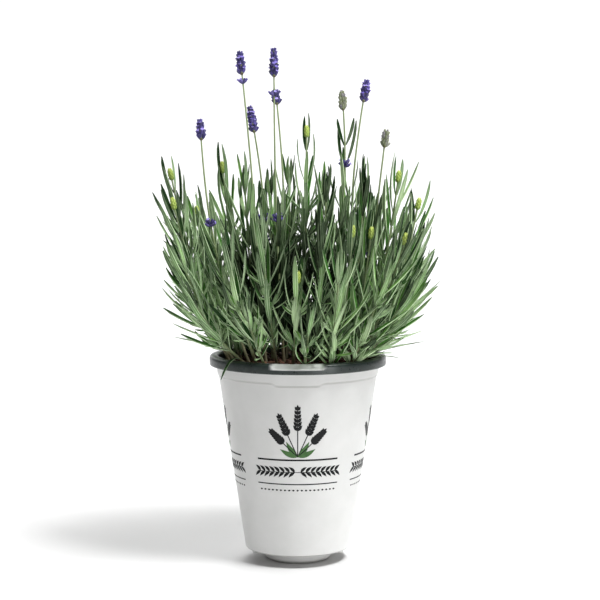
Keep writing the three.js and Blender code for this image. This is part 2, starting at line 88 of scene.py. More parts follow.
def tab_share(angle):
    """1 across the flattened front of the rim and 0 elsewhere; the front is at -90 degrees."""
    away = abs((angle + math.pi / 2 + math.pi) % (2 * math.pi) - math.pi)
    return 1 - smooth_step(away, TAB_HALF_ANGLE - TAB_END_ANGLE, TAB_HALF_ANGLE)


def rounded_outline(corners, steps=5):
    """[(radius, height, rounding)] to points, with each corner's rounding as a curve."""
    points = []
    last = len(corners) - 1
    for i, (r, z, rounding) in enumerate(corners):
        here = Vector((r, z))
        if rounding == 0 or i in (0, last):
            points.append(here)
            continue
        before = Vector(corners[i - 1][:2])
        after = Vector(corners[i + 1][:2])
        start = here + (before - here).normalized() * rounding
        end = here + (after - here).normalized() * rounding
        for k in range(steps + 1):
            t = k / steps
            points.append(start * (1 - t) ** 2 + here * 2 * t * (1 - t) + end * t * t)
    return points


def turned_mesh(bm, outline, sides, shaped=None):
    """Turns an outline about Z. Where it meets the axis it closes in a point; otherwise it is a loop."""
    rings = []
    for point in outline:
        if point.x < 1e-7:
            rings.append([bm.verts.new((0, 0, point.y))])
            continue
        ring = []
        for k in range(sides):
            angle = 2 * math.pi * k / sides
            r, z = shaped(point.x, point.y, angle) if shaped else (point.x, point.y)
            ring.append(bm.verts.new((r * math.cos(angle), r * math.sin(angle), z)))
        rings.append(ring)
    pairs = list(zip(rings, rings[1:]))
    if len(rings[0]) > 1 and len(rings[-1]) > 1:
        pairs.append((rings[-1], rings[0]))
    for low, high in pairs:
        for k in range(sides):
            n = (k + 1) % sides
            if len(low) == 1:
                bm.faces.new((low[0], high[n], high[k]))
            elif len(high) == 1:
                bm.faces.new((low[k], low[n], high[0]))
            else:
                bm.faces.new((low[k], low[n], high[n], high[k]))


def add_piece(name, bm, material, smooth_angle=40):
    """A mesh object of one finished piece, with its faces facing out and its sharp edges kept."""
    bmesh.ops.recalc_face_normals(bm, faces=bm.faces)
    mesh = bpy.data.meshes.new(name)
    bm.to_mesh(mesh)
    bm.free()
    piece = bpy.data.objects.new(name, mesh)
    bpy.context.collection.objects.link(piece)
    mesh.materials.append(material)
    mesh.shade_smooth()
    mesh.set_sharp_from_angle(angle=math.radians(smooth_angle))
    return piece


def cut_or_join(piece, other, operation):
    """Cuts other out of piece, or joins it on, and removes other."""
    step = piece.modifiers.new("bool", "BOOLEAN")
    step.object = other
    step.operation = operation
    step.solver = "EXACT"
    graph = bpy.context.evaluated_depsgraph_get()
    made = bpy.data.meshes.new_from_object(piece.evaluated_get(graph))
    piece.modifiers.remove(step)
    old = piece.data
    piece.data = made
    bpy.data.meshes.remove(old)
    gone = other.data
    bpy.data.objects.remove(other)
    bpy.data.meshes.remove(gone)


class Finish:
    """A material's node tree, built link by link."""

    def __init__(self, name, roughness):
        self.material = bpy.data.materials.new(name)
        self.material.use_nodes = True
        self.nodes = self.material.node_tree.nodes
        self.links = self.material.node_tree.links
        self.shader = self.nodes["Principled BSDF"]
        self.shader.inputs["Roughness"].default_value = roughness
        self.place = self.nodes.new("ShaderNodeTexCoord").outputs["Object"]

    def noise(self, scale, detail=4, rough=0.55, stretch=None):
        node = self.nodes.new("ShaderNodeTexNoise")
        node.inputs["Scale"].default_value = scale
        node.inputs["Detail"].default_value = detail
        node.inputs["Roughness"].default_value = rough
        place = self.place
        if stretch:
            scaled = self.nodes.new("ShaderNodeMapping")
            scaled.inputs["Scale"].default_value = stretch
            self.links.new(place, scaled.inputs["Vector"])
            place = scaled.outputs["Vector"]
        self.links.new(place, node.inputs["Vector"])
        return node.outputs["Fac"]

    def own(self, name):
        """A number that the mesh stores at each vertex."""
        node = self.nodes.new("ShaderNodeAttribute")
        node.attribute_name = name
        return node.outputs["Fac"]

    def ramp(self, value, stops):
        node = self.nodes.new("ShaderNodeValToRGB")
        marks = node.color_ramp.elements
        for i, (position, colour) in enumerate(stops):
            mark = marks[i] if i < 2 else marks.new(position)
            mark.position = position
            mark.color = (*colour, 1)
        self.links.new(value, node.inputs["Fac"])
        return node.outputs["Color"]

    def feed(self, place, value):
        """Gives a node's input a number, a colour or another node's output."""
        if isinstance(value, (int, float)):
            place.default_value = value
        elif isinstance(value, tuple):
            place.default_value = (*value, 1)
        else:
            self.links.new(value, place)

    def blend(self, share, first, second):
        node = self.nodes.new("ShaderNodeMix")
        node.data_type = "RGBA"
        for place, value in ((0, share), (6, first), (7, second)):
            self.feed(node.inputs[place], value)
        return node.outputs[2]

    def range(self, value, low, high, start=0.0, end=1.0):
        node = self.nodes.new("ShaderNodeMapRange")
        for place, number in ((1, start), (2, end), (3, low), (4, high)):
            node.inputs[place].default_value = number
        self.links.new(value, node.inputs[0])
        return node.outputs[0]

    def maths(self, operation, first, second):
        node = self.nodes.new("ShaderNodeMath")
        node.operation = operation
        self.feed(node.inputs[0], first)
        self.feed(node.inputs[1], second)
        return node.outputs[0]

    def underside(self, start, end):
        """From 0 to 1 where a face leans down, from start to end as shares of straight down."""
        split = self.nodes.new("ShaderNodeSeparateXYZ")
        self.links.new(self.nodes.new("ShaderNodeNewGeometry").outputs["Normal"], split.inputs["Vector"])
        return self.range(split.outputs["Z"], 0.0, 1.0, -start, -end)

    def bump(self, height, distance):
        node = self.nodes.new("ShaderNodeBump")
        node.inputs["Distance"].default_value = distance
        self.links.new(height, node.inputs["Height"])
        self.links.new(node.outputs["Normal"], self.shader.inputs["Normal"])

    def grain(self, scale, distance, detail=4, rough=0.55):
        """A fine uneven surface."""
        self.bump(self.noise(scale, detail, rough), distance)

    def roughness(self, scale, low, high, start=0.0, end=1.0, detail=4):
        """Roughness that wanders from low to high in patches."""
        patches = self.range(self.noise(scale, detail), low, high, start, end)
        self.links.new(patches, self.shader.inputs["Roughness"])

    def colour(self, value):
        self.links.new(value, self.shader.inputs["Base Color"])


white = Finish("white_plastic", 0.34)
scuffs = white.noise(38, detail=6, rough=0.6)
unshaded_white = white.ramp(scuffs, [(0.25, (0.69, 0.695, 0.68)), (0.7, (0.75, 0.75, 0.74))])
# Painted shade: faces that lean down, such as the collar's step and the foot, are blended to a darker grey.
white.colour(white.blend(white.underside(0.24, 0.55), unshaded_white, (0.38, 0.375, 0.36)))
white.roughness(120, 0.28, 0.44, 0.3, 0.7, detail=5)
white.grain(1400, 0.00004, detail=2)
white.shader.inputs["Coat Weight"].default_value = 0.15
white.shader.inputs["Coat Roughness"].default_value = 0.18

collar_foot = wall_top - COLLAR_HEIGHT
inner_floor = wall_foot + WALL
plug_inner = PLUG_RADIUS - WALL
outline = rounded_outline([
    (0, 0, 0),
    (PLUG_RADIUS - PLUG_TAPER, 0, 4 * MM),
    (PLUG_RADIUS, wall_foot, 0.8 * MM),
    (wall_foot_radius, wall_foot, FOOT_ROUND),
    (wall_radius(wall_foot + 2 * FOOT_ROUND), wall_foot + 2 * FOOT_ROUND, 0),
])
PLAIN_ROWS, PLAIN_PITCH = 13, 10 * MM       # of points up the plain part of the wall
FINE_PITCH = 0.4 * MM                       # and up the collar
plain_top = collar_foot - 6 * MM
height = mix(outline[-1].y, plain_top, 1 / (PLAIN_ROWS + 1))
for _ in range(PLAIN_ROWS):
    outline.append(Vector((wall_radius(height), height)))
    height += PLAIN_PITCH
for row in range(round((wall_top - plain_top) / FINE_PITCH)):
    height = plain_top + row * FINE_PITCH
    outline.append(Vector((wall_radius(height), height)))
outline += rounded_outline([
    (wall_radius(wall_top), wall_top - 0.5 * MM, 0),
    (wall_radius(wall_top), wall_top, 0.3 * MM),
    (wall_radius(wall_top) - WALL, wall_top, 0.3 * MM),
    (wall_radius(wall_top) - WALL, wall_top - 0.5 * MM, 0),
    (wall_radius(inner_floor) - WALL, inner_floor, 2 * MM),
    (plug_inner, inner_floor, 0.6 * MM),
    (plug_inner - PLUG_TAPER, WALL, 1 * MM),
    (0, WALL, 0),
])


def with_collar(r, z, angle):
    """Pushes the outside of the wall out into the collar, which reaches lower under the rim's tab."""
    if z < plain_top or r < wall_radius(z) - WALL / 2:
        return r, z
    foot = collar_foot - TAB_COLLAR_DROP * tab_share(angle)
    return r + COLLAR_PROUD * smooth_step(z, foot + COLLAR_STEP_LOW, foot + COLLAR_STEP_HIGH), z


bm = bmesh.new()
turned_mesh(bm, outline, POT_SIDES, with_collar)
pot = add_piece("pot_wall", bm, white.material)


def short_rod(name, centre, low_radius, high_radius, low, high, sides=28):
    """A short upright rod with softened ends."""
    bm = bmesh.new()
    soft = min(low_radius, high_radius) * 0.35
    turned_mesh(bm, rounded_outline([
        (0, low, 0),
        (low_radius, low, soft),
        (high_radius, high, soft),
        (0, high, 0),
    ]), sides)
    bmesh.ops.translate(bm, verts=bm.verts, vec=(*centre, 0))
    return add_piece(name, bm, white.material)


def on_circle(radius, degrees):
    angle = math.radians(degrees)
    return radius * math.cos(angle), radius * math.sin(angle)


LUG_RADIUS = 3.4 * MM
LUG_INSET = 0.3 * MM
LUG_DROP, LUG_RISE = 1.8 * MM, 1.1 * MM      # below and above the foot of the wall
for degrees in (-30, 90, 210):
    place = on_circle(wall_foot_radius - LUG_INSET - LUG_RADIUS, degrees)
    lug = short_rod("lug", place, LUG_RADIUS * 0.8, LUG_RADIUS, wall_foot - LUG_DROP, wall_foot + LUG_RISE)
    cut_or_join(pot, lug, "UNION")
for degrees in (45, 135, 225, 315):
    hole = short_rod("hole", on_circle(DRAIN_CIRCLE, degrees), DRAIN_RADIUS, DRAIN_RADIUS, -6 * MM, 6 * MM)
    cut_or_join(pot, hole, "DIFFERENCE")
pot.data.set_sharp_from_angle(angle=math.radians(40))
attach(pot, "root")
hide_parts("pot_body")


# ------------------------------------------------------------------------------------------------
# Print. A plain garden sprig over two rules and a leaf border, screened in dark ink straight on the
# wall of the pot, four times round it. Each mark is a thin film of ink that follows the taper.

INK_PROUD = 0.09 * MM
INK_SUNK = 0.05 * MM
PRINT_COPIES = 4
PRINT_FOOT = 70 * MM
PRINT_HALF_WIDTH = 37 * MM


def screen_ink(name, deep, thin):
    """A finish for one ink, a little uneven where it was pressed through the screen."""
    finish = Finish(name, 0.45)
    finish.colour(finish.ramp(finish.noise(300), [(0.3, deep), (0.75, thin)]))
    finish.roughness(900, 0.38, 0.55)
    finish.grain(2500, 0.00002, detail=2)
    return finish


dark_ink = screen_ink("dark_ink", (0.005, 0.006, 0.006), (0.014, 0.015, 0.016))
dark_ink.shader.inputs["Specular IOR Level"].default_value = 0.2
green_ink = screen_ink("green_ink", (0.028, 0.105, 0.018), (0.060, 0.165, 0.036))


def on_wall(across, height, proud, turn):
    """A point on the pot's wall; across is how far round it lies from the middle of a print."""
    angle = turn + across / wall_radius(height) - math.pi / 2
    r = wall_radius(height) + proud
    return (r * math.cos(angle), r * math.sin(angle), height)


def close_tube(bm, rings):
    """Sides between rings of equally many points, and a face on each end."""
    for low, high in zip(rings, rings[1:]):
        for k in range(len(low)):
            n = (k + 1) % len(low)
            bm.faces.new((low[k], low[n], high[n], high[k]))
    bm.faces.new(rings[0])
    bm.faces.new(reversed(rings[-1]))


def ink_stroke(bm, path, widths, turn):
    """One stroke of ink: a closed thin film along a path of (across, height), widths wide."""
    rings = []
    for i, (across, height) in enumerate(path):
        before = path[max(i - 1, 0)]
        after = path[min(i + 1, len(path) - 1)]
        run, rise = after[0] - before[0], after[1] - before[1]
        length = math.hypot(run, rise)
        side = (-rise / length, run / length)
        half = widths[i] / 2
        left = (across + side[0] * half, height + side[1] * half)
        right = (across - side[0] * half, height - side[1] * half)
        rings.append([bm.verts.new(on_wall(*at, proud, turn)) for at, proud in (
            (left, INK_PROUD), (right, INK_PROUD), (right, -INK_SUNK), (left, -INK_SUNK))])
    close_tube(bm, rings)


def ink_line(bm, start, end, width, turn, steps=24):
    path = [(mix(start[0], end[0], i / steps), mix(start[1], end[1], i / steps)) for i in range(steps + 1)]
    ink_stroke(bm, path, [width] * (steps + 1), turn)


def ink_leaf(bm, foot, direction, length, width, turn, bow=0.0, steps=10):
    """A pointed leaf from its foot along direction (degrees from upright, clockwise)."""
    angle = math.radians(direction)
    ahead = (math.sin(angle), math.cos(angle))
    path, widths = [], []
    for i in range(steps + 1):
        t = i / steps
        sway = bow * length * math.sin(math.pi * t)
        path.append((
            foot[0] + ahead[0] * length * t + ahead[1] * sway,
            foot[1] + ahead[1] * length * t - ahead[0] * sway,
        ))
        widths.append(max(width * math.sin(math.pi * t ** 0.8), 0.12 * MM))
    ink_stroke(bm, path, widths, turn)


def print_mark(dark, green, turn):
    """From the foot up: a row of dashes, a rule, a border of paired leaves, a rule and a fan of sprigs."""
    border = PRINT_FOOT + 19 * MM
    for height, width in ((PRINT_FOOT + 30 * MM, 1.5), (PRINT_FOOT + 8 * MM, 1.0), (border, 0.6)):
        ink_line(dark, (-PRINT_HALF_WIDTH, height), (PRINT_HALF_WIDTH, height), width * MM, turn)
    for side in (-1, 1):
        for k in range(8):
            across = side * (2.6 + 4.5 * k) * MM
            for lean in (48, 132):
                ink_leaf(dark, (across, border), side * lean, 7.2 * MM, 2.6 * MM, turn, -0.08 * side)
    for k in range(-9, 10):
        middle = k * PRINT_HALF_WIDTH / 10
        ink_leaf(dark, (middle - 1.1 * MM, PRINT_FOOT + 2.5 * MM), 90, 2.2 * MM, 1.6 * MM, turn)
    root = (0, PRINT_FOOT + 33 * MM)
    for lean, reach in ((-46, 31), (-24, 38), (0, 42), (24, 38), (46, 31)):
        angle = math.radians(lean)
        tip = (math.sin(angle) * reach * MM, root[1] + math.cos(angle) * reach * MM)
        ink_line(dark, root, tip, 0.9 * MM, turn, steps=12)
        for step in range(6):
            share = mix(0.56, 1.0, step / 5)
            at = (mix(root[0], tip[0], share), mix(root[1], tip[1], share))
            size = mix(6.4, 4.0, step / 5) * MM
            for side in (-38, 38):
                ink_leaf(dark, at, lean + side, size, 2.9 * MM, turn)
        ink_leaf(dark, tip, lean, 5 * MM, 2.4 * MM, turn)
    for lean in (-66, -36, 36, 66):
        ink_leaf(green, root, lean, 17 * MM, 4.6 * MM, turn, 0.06 * math.copysign(1, lean))


dark_bm, green_bm = bmesh.new(), bmesh.new()
for copy in range(PRINT_COPIES):
    print_mark(dark_bm, green_bm, copy * 2 * math.pi / PRINT_COPIES)
for name, bm, finish in (("pot_print_dark", dark_bm, dark_ink), ("pot_print_green", green_bm, green_ink)):
    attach(add_piece(name, bm, finish.material), "root")


# ------------------------------------------------------------------------------------------------
# Pot rim. The dark grey-green band rolled over the top of the wall, hollow and open underneath. At
# the front the roll is pressed to a sloping facet with cut-off ends, where a tag can be held.

TAB_PRESS = 4.4 * MM
TAB_INNER = 1.5 * MM        # the slope starts this far out from the inside of the rim
TAB_PROUD = 0.5 * MM
RIM_SIDES = 288
RIM_SKIN = 1.6 * MM
RIM_ROUND = 3.4 * MM

dark = Finish("dark_plastic", 0.36)
mottle = dark.noise(160, detail=6, rough=0.65)
base = dark.ramp(mottle, [
    (0.3, (0.010, 0.018, 0.016)), (0.62, (0.018, 0.029, 0.026)), (0.8, (0.036, 0.050, 0.046))])
# Painted highlight: across the front facet's sloping top the colour is blended to near white, patchy with
# the mottle, as where the facet catches the light from above.
facet_highlight = dark.maths("MULTIPLY", dark.own("lit_facet"), dark.range(mottle, 0.85, 1.0))
dark.colour(dark.blend(facet_highlight, base, (0.93, 0.94, 0.93)))
dark.roughness(420, 0.24, 0.46, 0.3, 0.7, detail=5)
dark.grain(1600, 0.00005, detail=3)
dark.shader.inputs["Coat Weight"].default_value = 0.25
dark.shader.inputs["Coat Roughness"].default_value = 0.22

rim_foot, rim_top = rim_low.z, rim_high.z
rim_out = rim_high.x
rim_in = wall_top_radius - WALL
curl_in, curl_out, curl_top = rim_in + RIM_SKIN, rim_out - RIM_SKIN, rim_top - RIM_SKIN
loop = rounded_outline([
    (rim_in, rim_foot, 0),
    (curl_in, rim_foot, 0.3 * MM),
    (curl_in, curl_top, 1.2 * MM),
    (curl_out, curl_top, 1.2 * MM),
    (curl_out, rim_foot, 0.5 * MM),
    (rim_out, rim_foot, 1.0 * MM),
    (rim_out, mix(rim_foot, rim_top, 0.40), 0),
    (rim_out, rim_top, RIM_ROUND),
    (rim_in, rim_top, 2.6 * MM),
    (rim_in, rim_foot + 0.5 * MM, 0),
], steps=7)


def with_tab(r, z, angle):
    """Presses the outer side of the roll down to a flat slope across the front."""
    share = tab_share(angle)
    slope = min(max((r - rim_in - TAB_INNER) / (rim_out - rim_in - TAB_INNER), 0), 1)
    flat_top = rim_top - TAB_PRESS * slope
    pressed = min(z, flat_top) if z > mix(rim_foot, rim_top, 0.35) else z
    return r + TAB_PROUD * share * slope, mix(z, pressed, share)


bm = bmesh.new()
turned_mesh(bm, loop, RIM_SIDES, with_tab)
# Marks the front facet's sloping top for its painted highlight.
lit_facet_layer = bm.verts.layers.float.new("lit_facet")
for vertex in bm.verts:
    out = math.hypot(vertex.co.x, vertex.co.y)
    on_top = vertex.co.z > mix(rim_foot, rim_top, 0.42) and out > rim_in + 1.2 * MM
    vertex[lit_facet_layer] = tab_share(math.atan2(vertex.co.y, vertex.co.x)) * on_top
rim = add_piece("pot_rim_band", bm, dark.material, smooth_angle=28)
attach(rim, "root")
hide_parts("pot_rim")


# ------------------------------------------------------------------------------------------------
# Potting mix. Damp composted fines that fill the pot, with loose shreds and chips of reddish bark on
# top, a little higher in the middle than at the wall.

soil_low, soil_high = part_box("potting_mix")
soil_radius = soil_high.x
SOIL_CROWN = 4 * MM
soil_edge = soil_high.z - SOIL_CROWN
SOIL_RINGS = 46
SOIL_SIDES = 150


def soil_height(distance):
    return soil_edge + SOIL_CROWN * (1 - (distance / soil_radius) ** 2)


fines = Finish("bark_fines", 0.95)
clods = fines.noise(420, detail=8, rough=0.7)
fines.colour(fines.ramp(clods, [
    (0.3, (0.014, 0.006, 0.004)), (0.5, (0.075, 0.028, 0.015)), (0.72, (0.22, 0.085, 0.042))]))
fines.roughness(260, 0.75, 1.0)
fines.grain(700, 0.0009, detail=8, rough=0.75)

rng = random.Random(11)
bm = bmesh.new()
gap = 0.3 * MM
rows = [Vector(point) for point in (
    (0, soil_low.z),
    (plug_inner - PLUG_TAPER - 2 * gap, soil_low.z),
    (plug_inner - 2 * gap, inner_floor + gap),
    (wall_radius(inner_floor) - WALL - gap, inner_floor + gap),
    (wall_radius(wall_top) - WALL - 2 * gap, wall_top - gap),
)]
for ring in range(SOIL_RINGS, -1, -1):
    distance = soil_radius * ring / SOIL_RINGS
    rows.append(Vector((distance, soil_height(distance))))
lumps = [(rng.uniform(0.05, 0.2), rng.uniform(0, 6.3), rng.uniform(0.2, 0.9)) for _ in range(14)]


def with_lumps(r, z, angle):
    """Uneven top: small waves of different lengths."""
    if z < soil_edge - 0.1 * MM or r > soil_radius * 0.995:
        return r, z
    x, y = r * math.cos(angle) / MM, r * math.sin(angle) / MM
    wave = sum(math.sin(x * pitch + phase) * math.cos(y * pitch * 1.3 - phase) * size
               for pitch, phase, size in lumps)
    crumble = rng.uniform(-0.5, 0.5)
    return r, z + (0.28 * wave + crumble - 0.6) * MM


turned_mesh(bm, rows, SOIL_SIDES, with_lumps)
soil = add_piece("bark_fines", bm, fines.material, smooth_angle=80)
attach(soil, "root")
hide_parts("potting_mix")

shred = Finish("bark_shreds", 0.9)
tone = shred.own("tone")
grain = shred.noise(500, detail=6, rough=0.7, stretch=(1, 1, 3))
shred.colour(shred.blend(
    0.55,
    shred.ramp(tone, [
        (0.0, (0.018, 0.008, 0.005)), (0.45, (0.075, 0.028, 0.014)),
        (0.8, (0.17, 0.07, 0.034)), (1.0, (0.26, 0.13, 0.065))]),
    shred.ramp(grain, [(0.3, (0.02, 0.01, 0.007)), (0.7, (0.16, 0.075, 0.04))])))
shred.roughness(300, 0.7, 1.0)
shred.grain(1500, 0.0003, detail=6, rough=0.7)


def add_shred(bm, layer, centre, length, width, depth, turn, tilt, roll, tone_value):
    """A splintered chip: a bent six-sided sliver with ragged ends."""
    lie = Matrix.Rotation(turn, 4, "Z") @ Matrix.Rotation(tilt, 4, "Y") @ Matrix.Rotation(roll, 4, "X")
    rings = []
    bend = rng.uniform(-0.12, 0.12)
    for i in range(5):
        t = i / 4
        full = (0.45, 0.95, 1.0, 0.85, 0.35)[i] * rng.uniform(0.8, 1.1)
        bow = bend * length * math.sin(math.pi * t)
        ring = []
        for k in range(6):
            a = 2 * math.pi * k / 6
            place = Vector((
                (t - 0.5) * length + rng.uniform(-0.06, 0.06) * length * (i in (0, 4)),
                math.cos(a) * width / 2 * full * rng.uniform(0.85, 1.1) + bow,
                math.sin(a) * depth / 2 * full * rng.uniform(0.8, 1.15),
            ))
            vertex = bm.verts.new(centre + (lie @ place))
            vertex[layer] = tone_value + rng.uniform(-0.08, 0.08)
            ring.append(vertex)
        rings.append(ring)
    close_tube(bm, rings)


SHREDS = 1150
bm = bmesh.new()
tone_layer = bm.verts.layers.float.new("tone")
for _ in range(SHREDS):
    distance = (soil_radius - 5 * MM) * math.sqrt(rng.random())
    around = rng.uniform(0, 2 * math.pi)
    size = rng.random() ** 2
    length = mix(3.5, 13, size) * MM
    centre = Vector((distance * math.cos(around), distance * math.sin(around),
                     soil_height(distance) + rng.uniform(-0.2, 1.8) * MM))
    add_shred(bm, tone_layer, centre, length, mix(1.6, 4.2, size) * rng.uniform(0.7, 1.2) * MM,
              mix(0.8, 2.2, size) * MM, rng.uniform(0, 6.3), rng.gauss(0, 0.28), rng.uniform(-0.6, 0.6),
              rng.random() ** 1.3)
shreds = add_piece("bark_shreds", bm, shred.material, smooth_angle=35)
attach(shreds, "root")


# ------------------------------------------------------------------------------------------------
# Leafy shoots. Forty squarish stems, woody at the foot, with narrow grey-green leaves in crossed
# pairs, tufts of young leaves in the lower joints and, on some, a closed yellow-green flower bud.

STEM_RADIUS = 1.35 * MM
TIP_RADIUS = 0.8 * MM
STEM_SIDES = 8
LEAF_LENGTH = 47 * MM
LEAF_WIDTH = 3.7 * MM
LOW_SPREAD, TOP_SPREAD = 44, 21
LOW_JOINT, TOP_JOINT = 6.5 * MM, 15 * MM
LAST_TUFT = 0.72            # of the stem
LEAF_STEPS = 7

# A leaf's section: (across, up) in half widths, and how pale and downy it is there. The margins are
# rolled under, a groove runs along the top and a rib along the underside.
LEAF_SECTION = [
    (0.00, -0.06, 0.20), (0.16, 0.12, 0.00), (0.72, 0.16, 0.00), (1.00, 0.02, 1.00),
    (0.86, -0.38, 0.55), (0.46, -0.10, 0.10), (0.00, -0.36, 0.70), (-0.46, -0.10, 0.10),
    (-0.86, -0.38, 0.55), (-1.00, 0.02, 1.00), (-0.72, 0.16, 0.00), (-0.16, 0.12, 0.00),
]

leaf_green = Finish("lavender_leaf", 0.6)
pale = leaf_green.own("pale")
tint = leaf_green.own("tint")
along = leaf_green.own("along")
streaks = leaf_green.noise(260, detail=5, rough=0.6)
blade = leaf_green.ramp(tint, [
    (0.0, (0.003, 0.024, 0.002)), (0.35, (0.019, 0.104, 0.010)), (0.65, (0.088, 0.300, 0.034)),
    (0.85, (0.220, 0.460, 0.100)), (1.0, (0.500, 0.700, 0.360))])
blade = leaf_green.blend(leaf_green.range(streaks, 0.0, 0.4, 0.35, 0.75), blade, (0.022, 0.060, 0.014))
# Painted shade: each leaf is darkened towards its tip, for tips seen dark against the light behind them.
tip_shade = leaf_green.range(along, 0.0, 0.75, 0.45, 1.0)
blade = leaf_green.blend(tip_shade, blade, (0.010, 0.030, 0.010))
# Painted shade: each leaf is darkened at its foot, next to the stem, to deepen the shade inside the foliage.
foot_shade = leaf_green.range(along, 0.75, 0.0, 0.0, 0.35)
blade = leaf_green.blend(foot_shade, blade, (0.010, 0.030, 0.006))
down = leaf_green.maths("MULTIPLY", pale, leaf_green.range(streaks, 0.70, 1.0, 0.3, 0.6))
down = leaf_green.maths("MULTIPLY", down, leaf_green.range(along, 1.0, 0.45, 0.55, 1.0))
down = leaf_green.maths("MULTIPLY", down, leaf_green.range(tint, 0.3, 1.0, 0.0, 0.4))
coat = leaf_green.blend(down, blade, (0.76, 0.95, 0.60))
# Painted shade: leaves deep inside the clump are blended towards near black.
leaf_green.colour(leaf_green.blend(leaf_green.own("clump_shade"), coat, (0.003, 0.010, 0.003)))
leaf_green.shader.inputs["Specular IOR Level"].default_value = 0.1
leaf_green.roughness(600, 0.42, 0.68)
leaf_green.grain(1500, 0.00012, rough=0.7)
leaf_green.shader.inputs["Sheen Weight"].default_value = 0.02
leaf_green.shader.inputs["Sheen Roughness"].default_value = 0.4

stem_green = Finish("lavender_stem", 0.6)
age = stem_green.own("along")
fibre = stem_green.noise(380, detail=5, rough=0.6, stretch=(1, 1, 0.25))
skin = stem_green.ramp(age, [
    (0.0, (0.105, 0.060, 0.032)), (0.12, (0.150, 0.115, 0.055)), (0.3, (0.150, 0.200, 0.075)),
    (1.0, (0.225, 0.300, 0.130))])
stem_green.colour(stem_green.blend(
    stem_green.range(fibre, 0.0, 0.45, 0.35, 0.7), skin, (0.36, 0.42, 0.27)))
stem_green.roughness(500, 0.5, 0.75)
stem_green.bump(fibre, 0.00018)

bud_green = Finish("lavender_bud", 0.55)
bud_shade = bud_green.blend(
    bud_green.range(bud_green.own("along"), 0.0, 1.0), (0.20, 0.34, 0.055), (0.52, 0.62, 0.10))
bud_green.colour(bud_green.blend(
    bud_green.range(bud_green.noise(700), 0.0, 0.5, 0.4, 0.7), bud_shade, (0.62, 0.68, 0.22)))
bud_green.roughness(500, 0.45, 0.65)
bud_green.grain(1800, 0.00010, detail=3)

# foot x, foot y, tip x, tip y, tip height, size of leaf, ends in a bud
# x and y are in radii of the potting mix's top; heights are in mm above the rim.
LEAFY_SHOOTS = [
    (-0.84, -0.17, -1.57, -0.11, 157, 1, True),
    (-0.81, -0.36, -1.50, -0.59, 132, 1, True),
    (-0.70, 0.00, -1.26, 0.17, 123, 1, True),
    (-0.56, 0.17, -0.95, 0.31, 163, 0.9, True),
    (-0.48, -0.06, -0.66, -0.06, 146, 1, False),
    (-0.06, 0.20, -0.11, 0.31, 152, 0.9, False),
    (0.08, 0.00, 0.11, 0.03, 195, 0.85, True),
    (0.22, -0.17, 0.35, -0.25, 140, 1, False),
    (0.62, -0.22, 0.81, -0.39, 140, 1, False),
    (0.81, -0.03, 1.25, -0.06, 155, 1, True),
    (0.90, -0.17, 1.49, -0.17, 131, 1, True),
    (0.79, -0.31, 1.43, -0.62, 94, 1, False),
    (0.70, -0.50, 1.26, -1.04, 103, 0.95, True),
    (0.48, -0.50, 0.65, -1.01, 109, 1, True),
    (0.62, -0.36, 0.88, -0.79, 107, 0.95, True),
    (-0.06, -0.65, 0.00, -1.18, 71, 0.9, True),
    (0.67, -0.41, 1.23, -0.87, 48, 0.9, False),
    (0.76, -0.18, 1.37, -0.56, 58, 0.9, False),
    (-0.73, -0.39, -1.37, -0.70, 80, 1, False),
    (-0.59, -0.49, -1.23, -0.93, 50, 0.95, False),
    (-0.48, -0.62, -0.79, -1.21, 84, 1, False),
    (-0.25, -0.56, -0.42, -1.09, 102, 1, False),
    (0.20, -0.59, 0.29, -1.15, 98, 1, False),
    (0.39, -0.70, 0.48, -1.32, 72, 1, False),
    (0.62, -0.65, 1.04, -1.18, 74, 1, False),
    (-0.36, -0.79, -0.59, -1.15, 40, 0.7, False),
    (0.06, -0.84, 0.14, -1.21, 34, 0.7, False),
    (-0.70, 0.31, -1.29, 0.76, 114, 1, False),
    (-0.42, 0.53, -0.87, 1.23, 102, 1, False),
    (-0.25, 0.39, -0.36, 0.84, 140, 1, False),
    (-0.11, 0.76, -0.20, 1.46, 88, 1, False),
    (0.17, 0.48, 0.34, 0.98, 134, 1, False),
    (0.34, 0.76, 0.56, 1.51, 84, 1, False),
    (0.56, 0.50, 1.01, 1.04, 114, 1, False),
    (0.81, 0.31, 1.37, 0.65, 102, 1, False),
    (-0.77, 0.17, -1.49, 0.36, 68, 0.95, False),
    (0.77, 0.08, 1.49, 0.28, 64, 0.95, False),
    (-0.48, 0.70, -1.04, 1.26, 52, 0.85, False),
    (0.06, 0.67, 0.11, 1.57, 44, 0.85, False),
    (0.50, 0.62, 1.12, 1.21, 52, 0.85, False),
]


CLUMP_FOOT_RADIUS = 62 * MM
CLUMP_TOP_RADIUS = 118 * MM
CLUMP_RISE = 130 * MM
CLUMP_TOP = 150 * MM
DEEPEST = 0.92


def clump_shade_share(p):
    """How deep inside the clump a point lies, from 0 to DEEPEST: how far a leaf there is painted darker,
    painted shade inside the clump.
    """
    up = (p.z - rim_top) / CLUMP_RISE
    radius = mix(CLUMP_FOOT_RADIUS, CLUMP_TOP_RADIUS, min(max(up, 0), 1) ** 0.7)
    inward = 1 - smooth_step(math.hypot(p.x, p.y) / radius, 0.45, 0.92)
    return DEEPEST * inward * (1 - smooth_step(p.z - rim_top, 0.45 * CLUMP_TOP, 0.95 * CLUMP_TOP))


# Two leaves that lie over the edge of the pot: shoot, share of its stem, heading, bend, length in mm.
OVER_THE_EDGE = [
    (20, 0.16, (-0.36, -0.90, 0.35), (0.02, -0.10, -0.62), 44),
    (18, 0.12, (0.90, -0.35, 0.25), (0.02, -0.05, -0.22), 32),
]


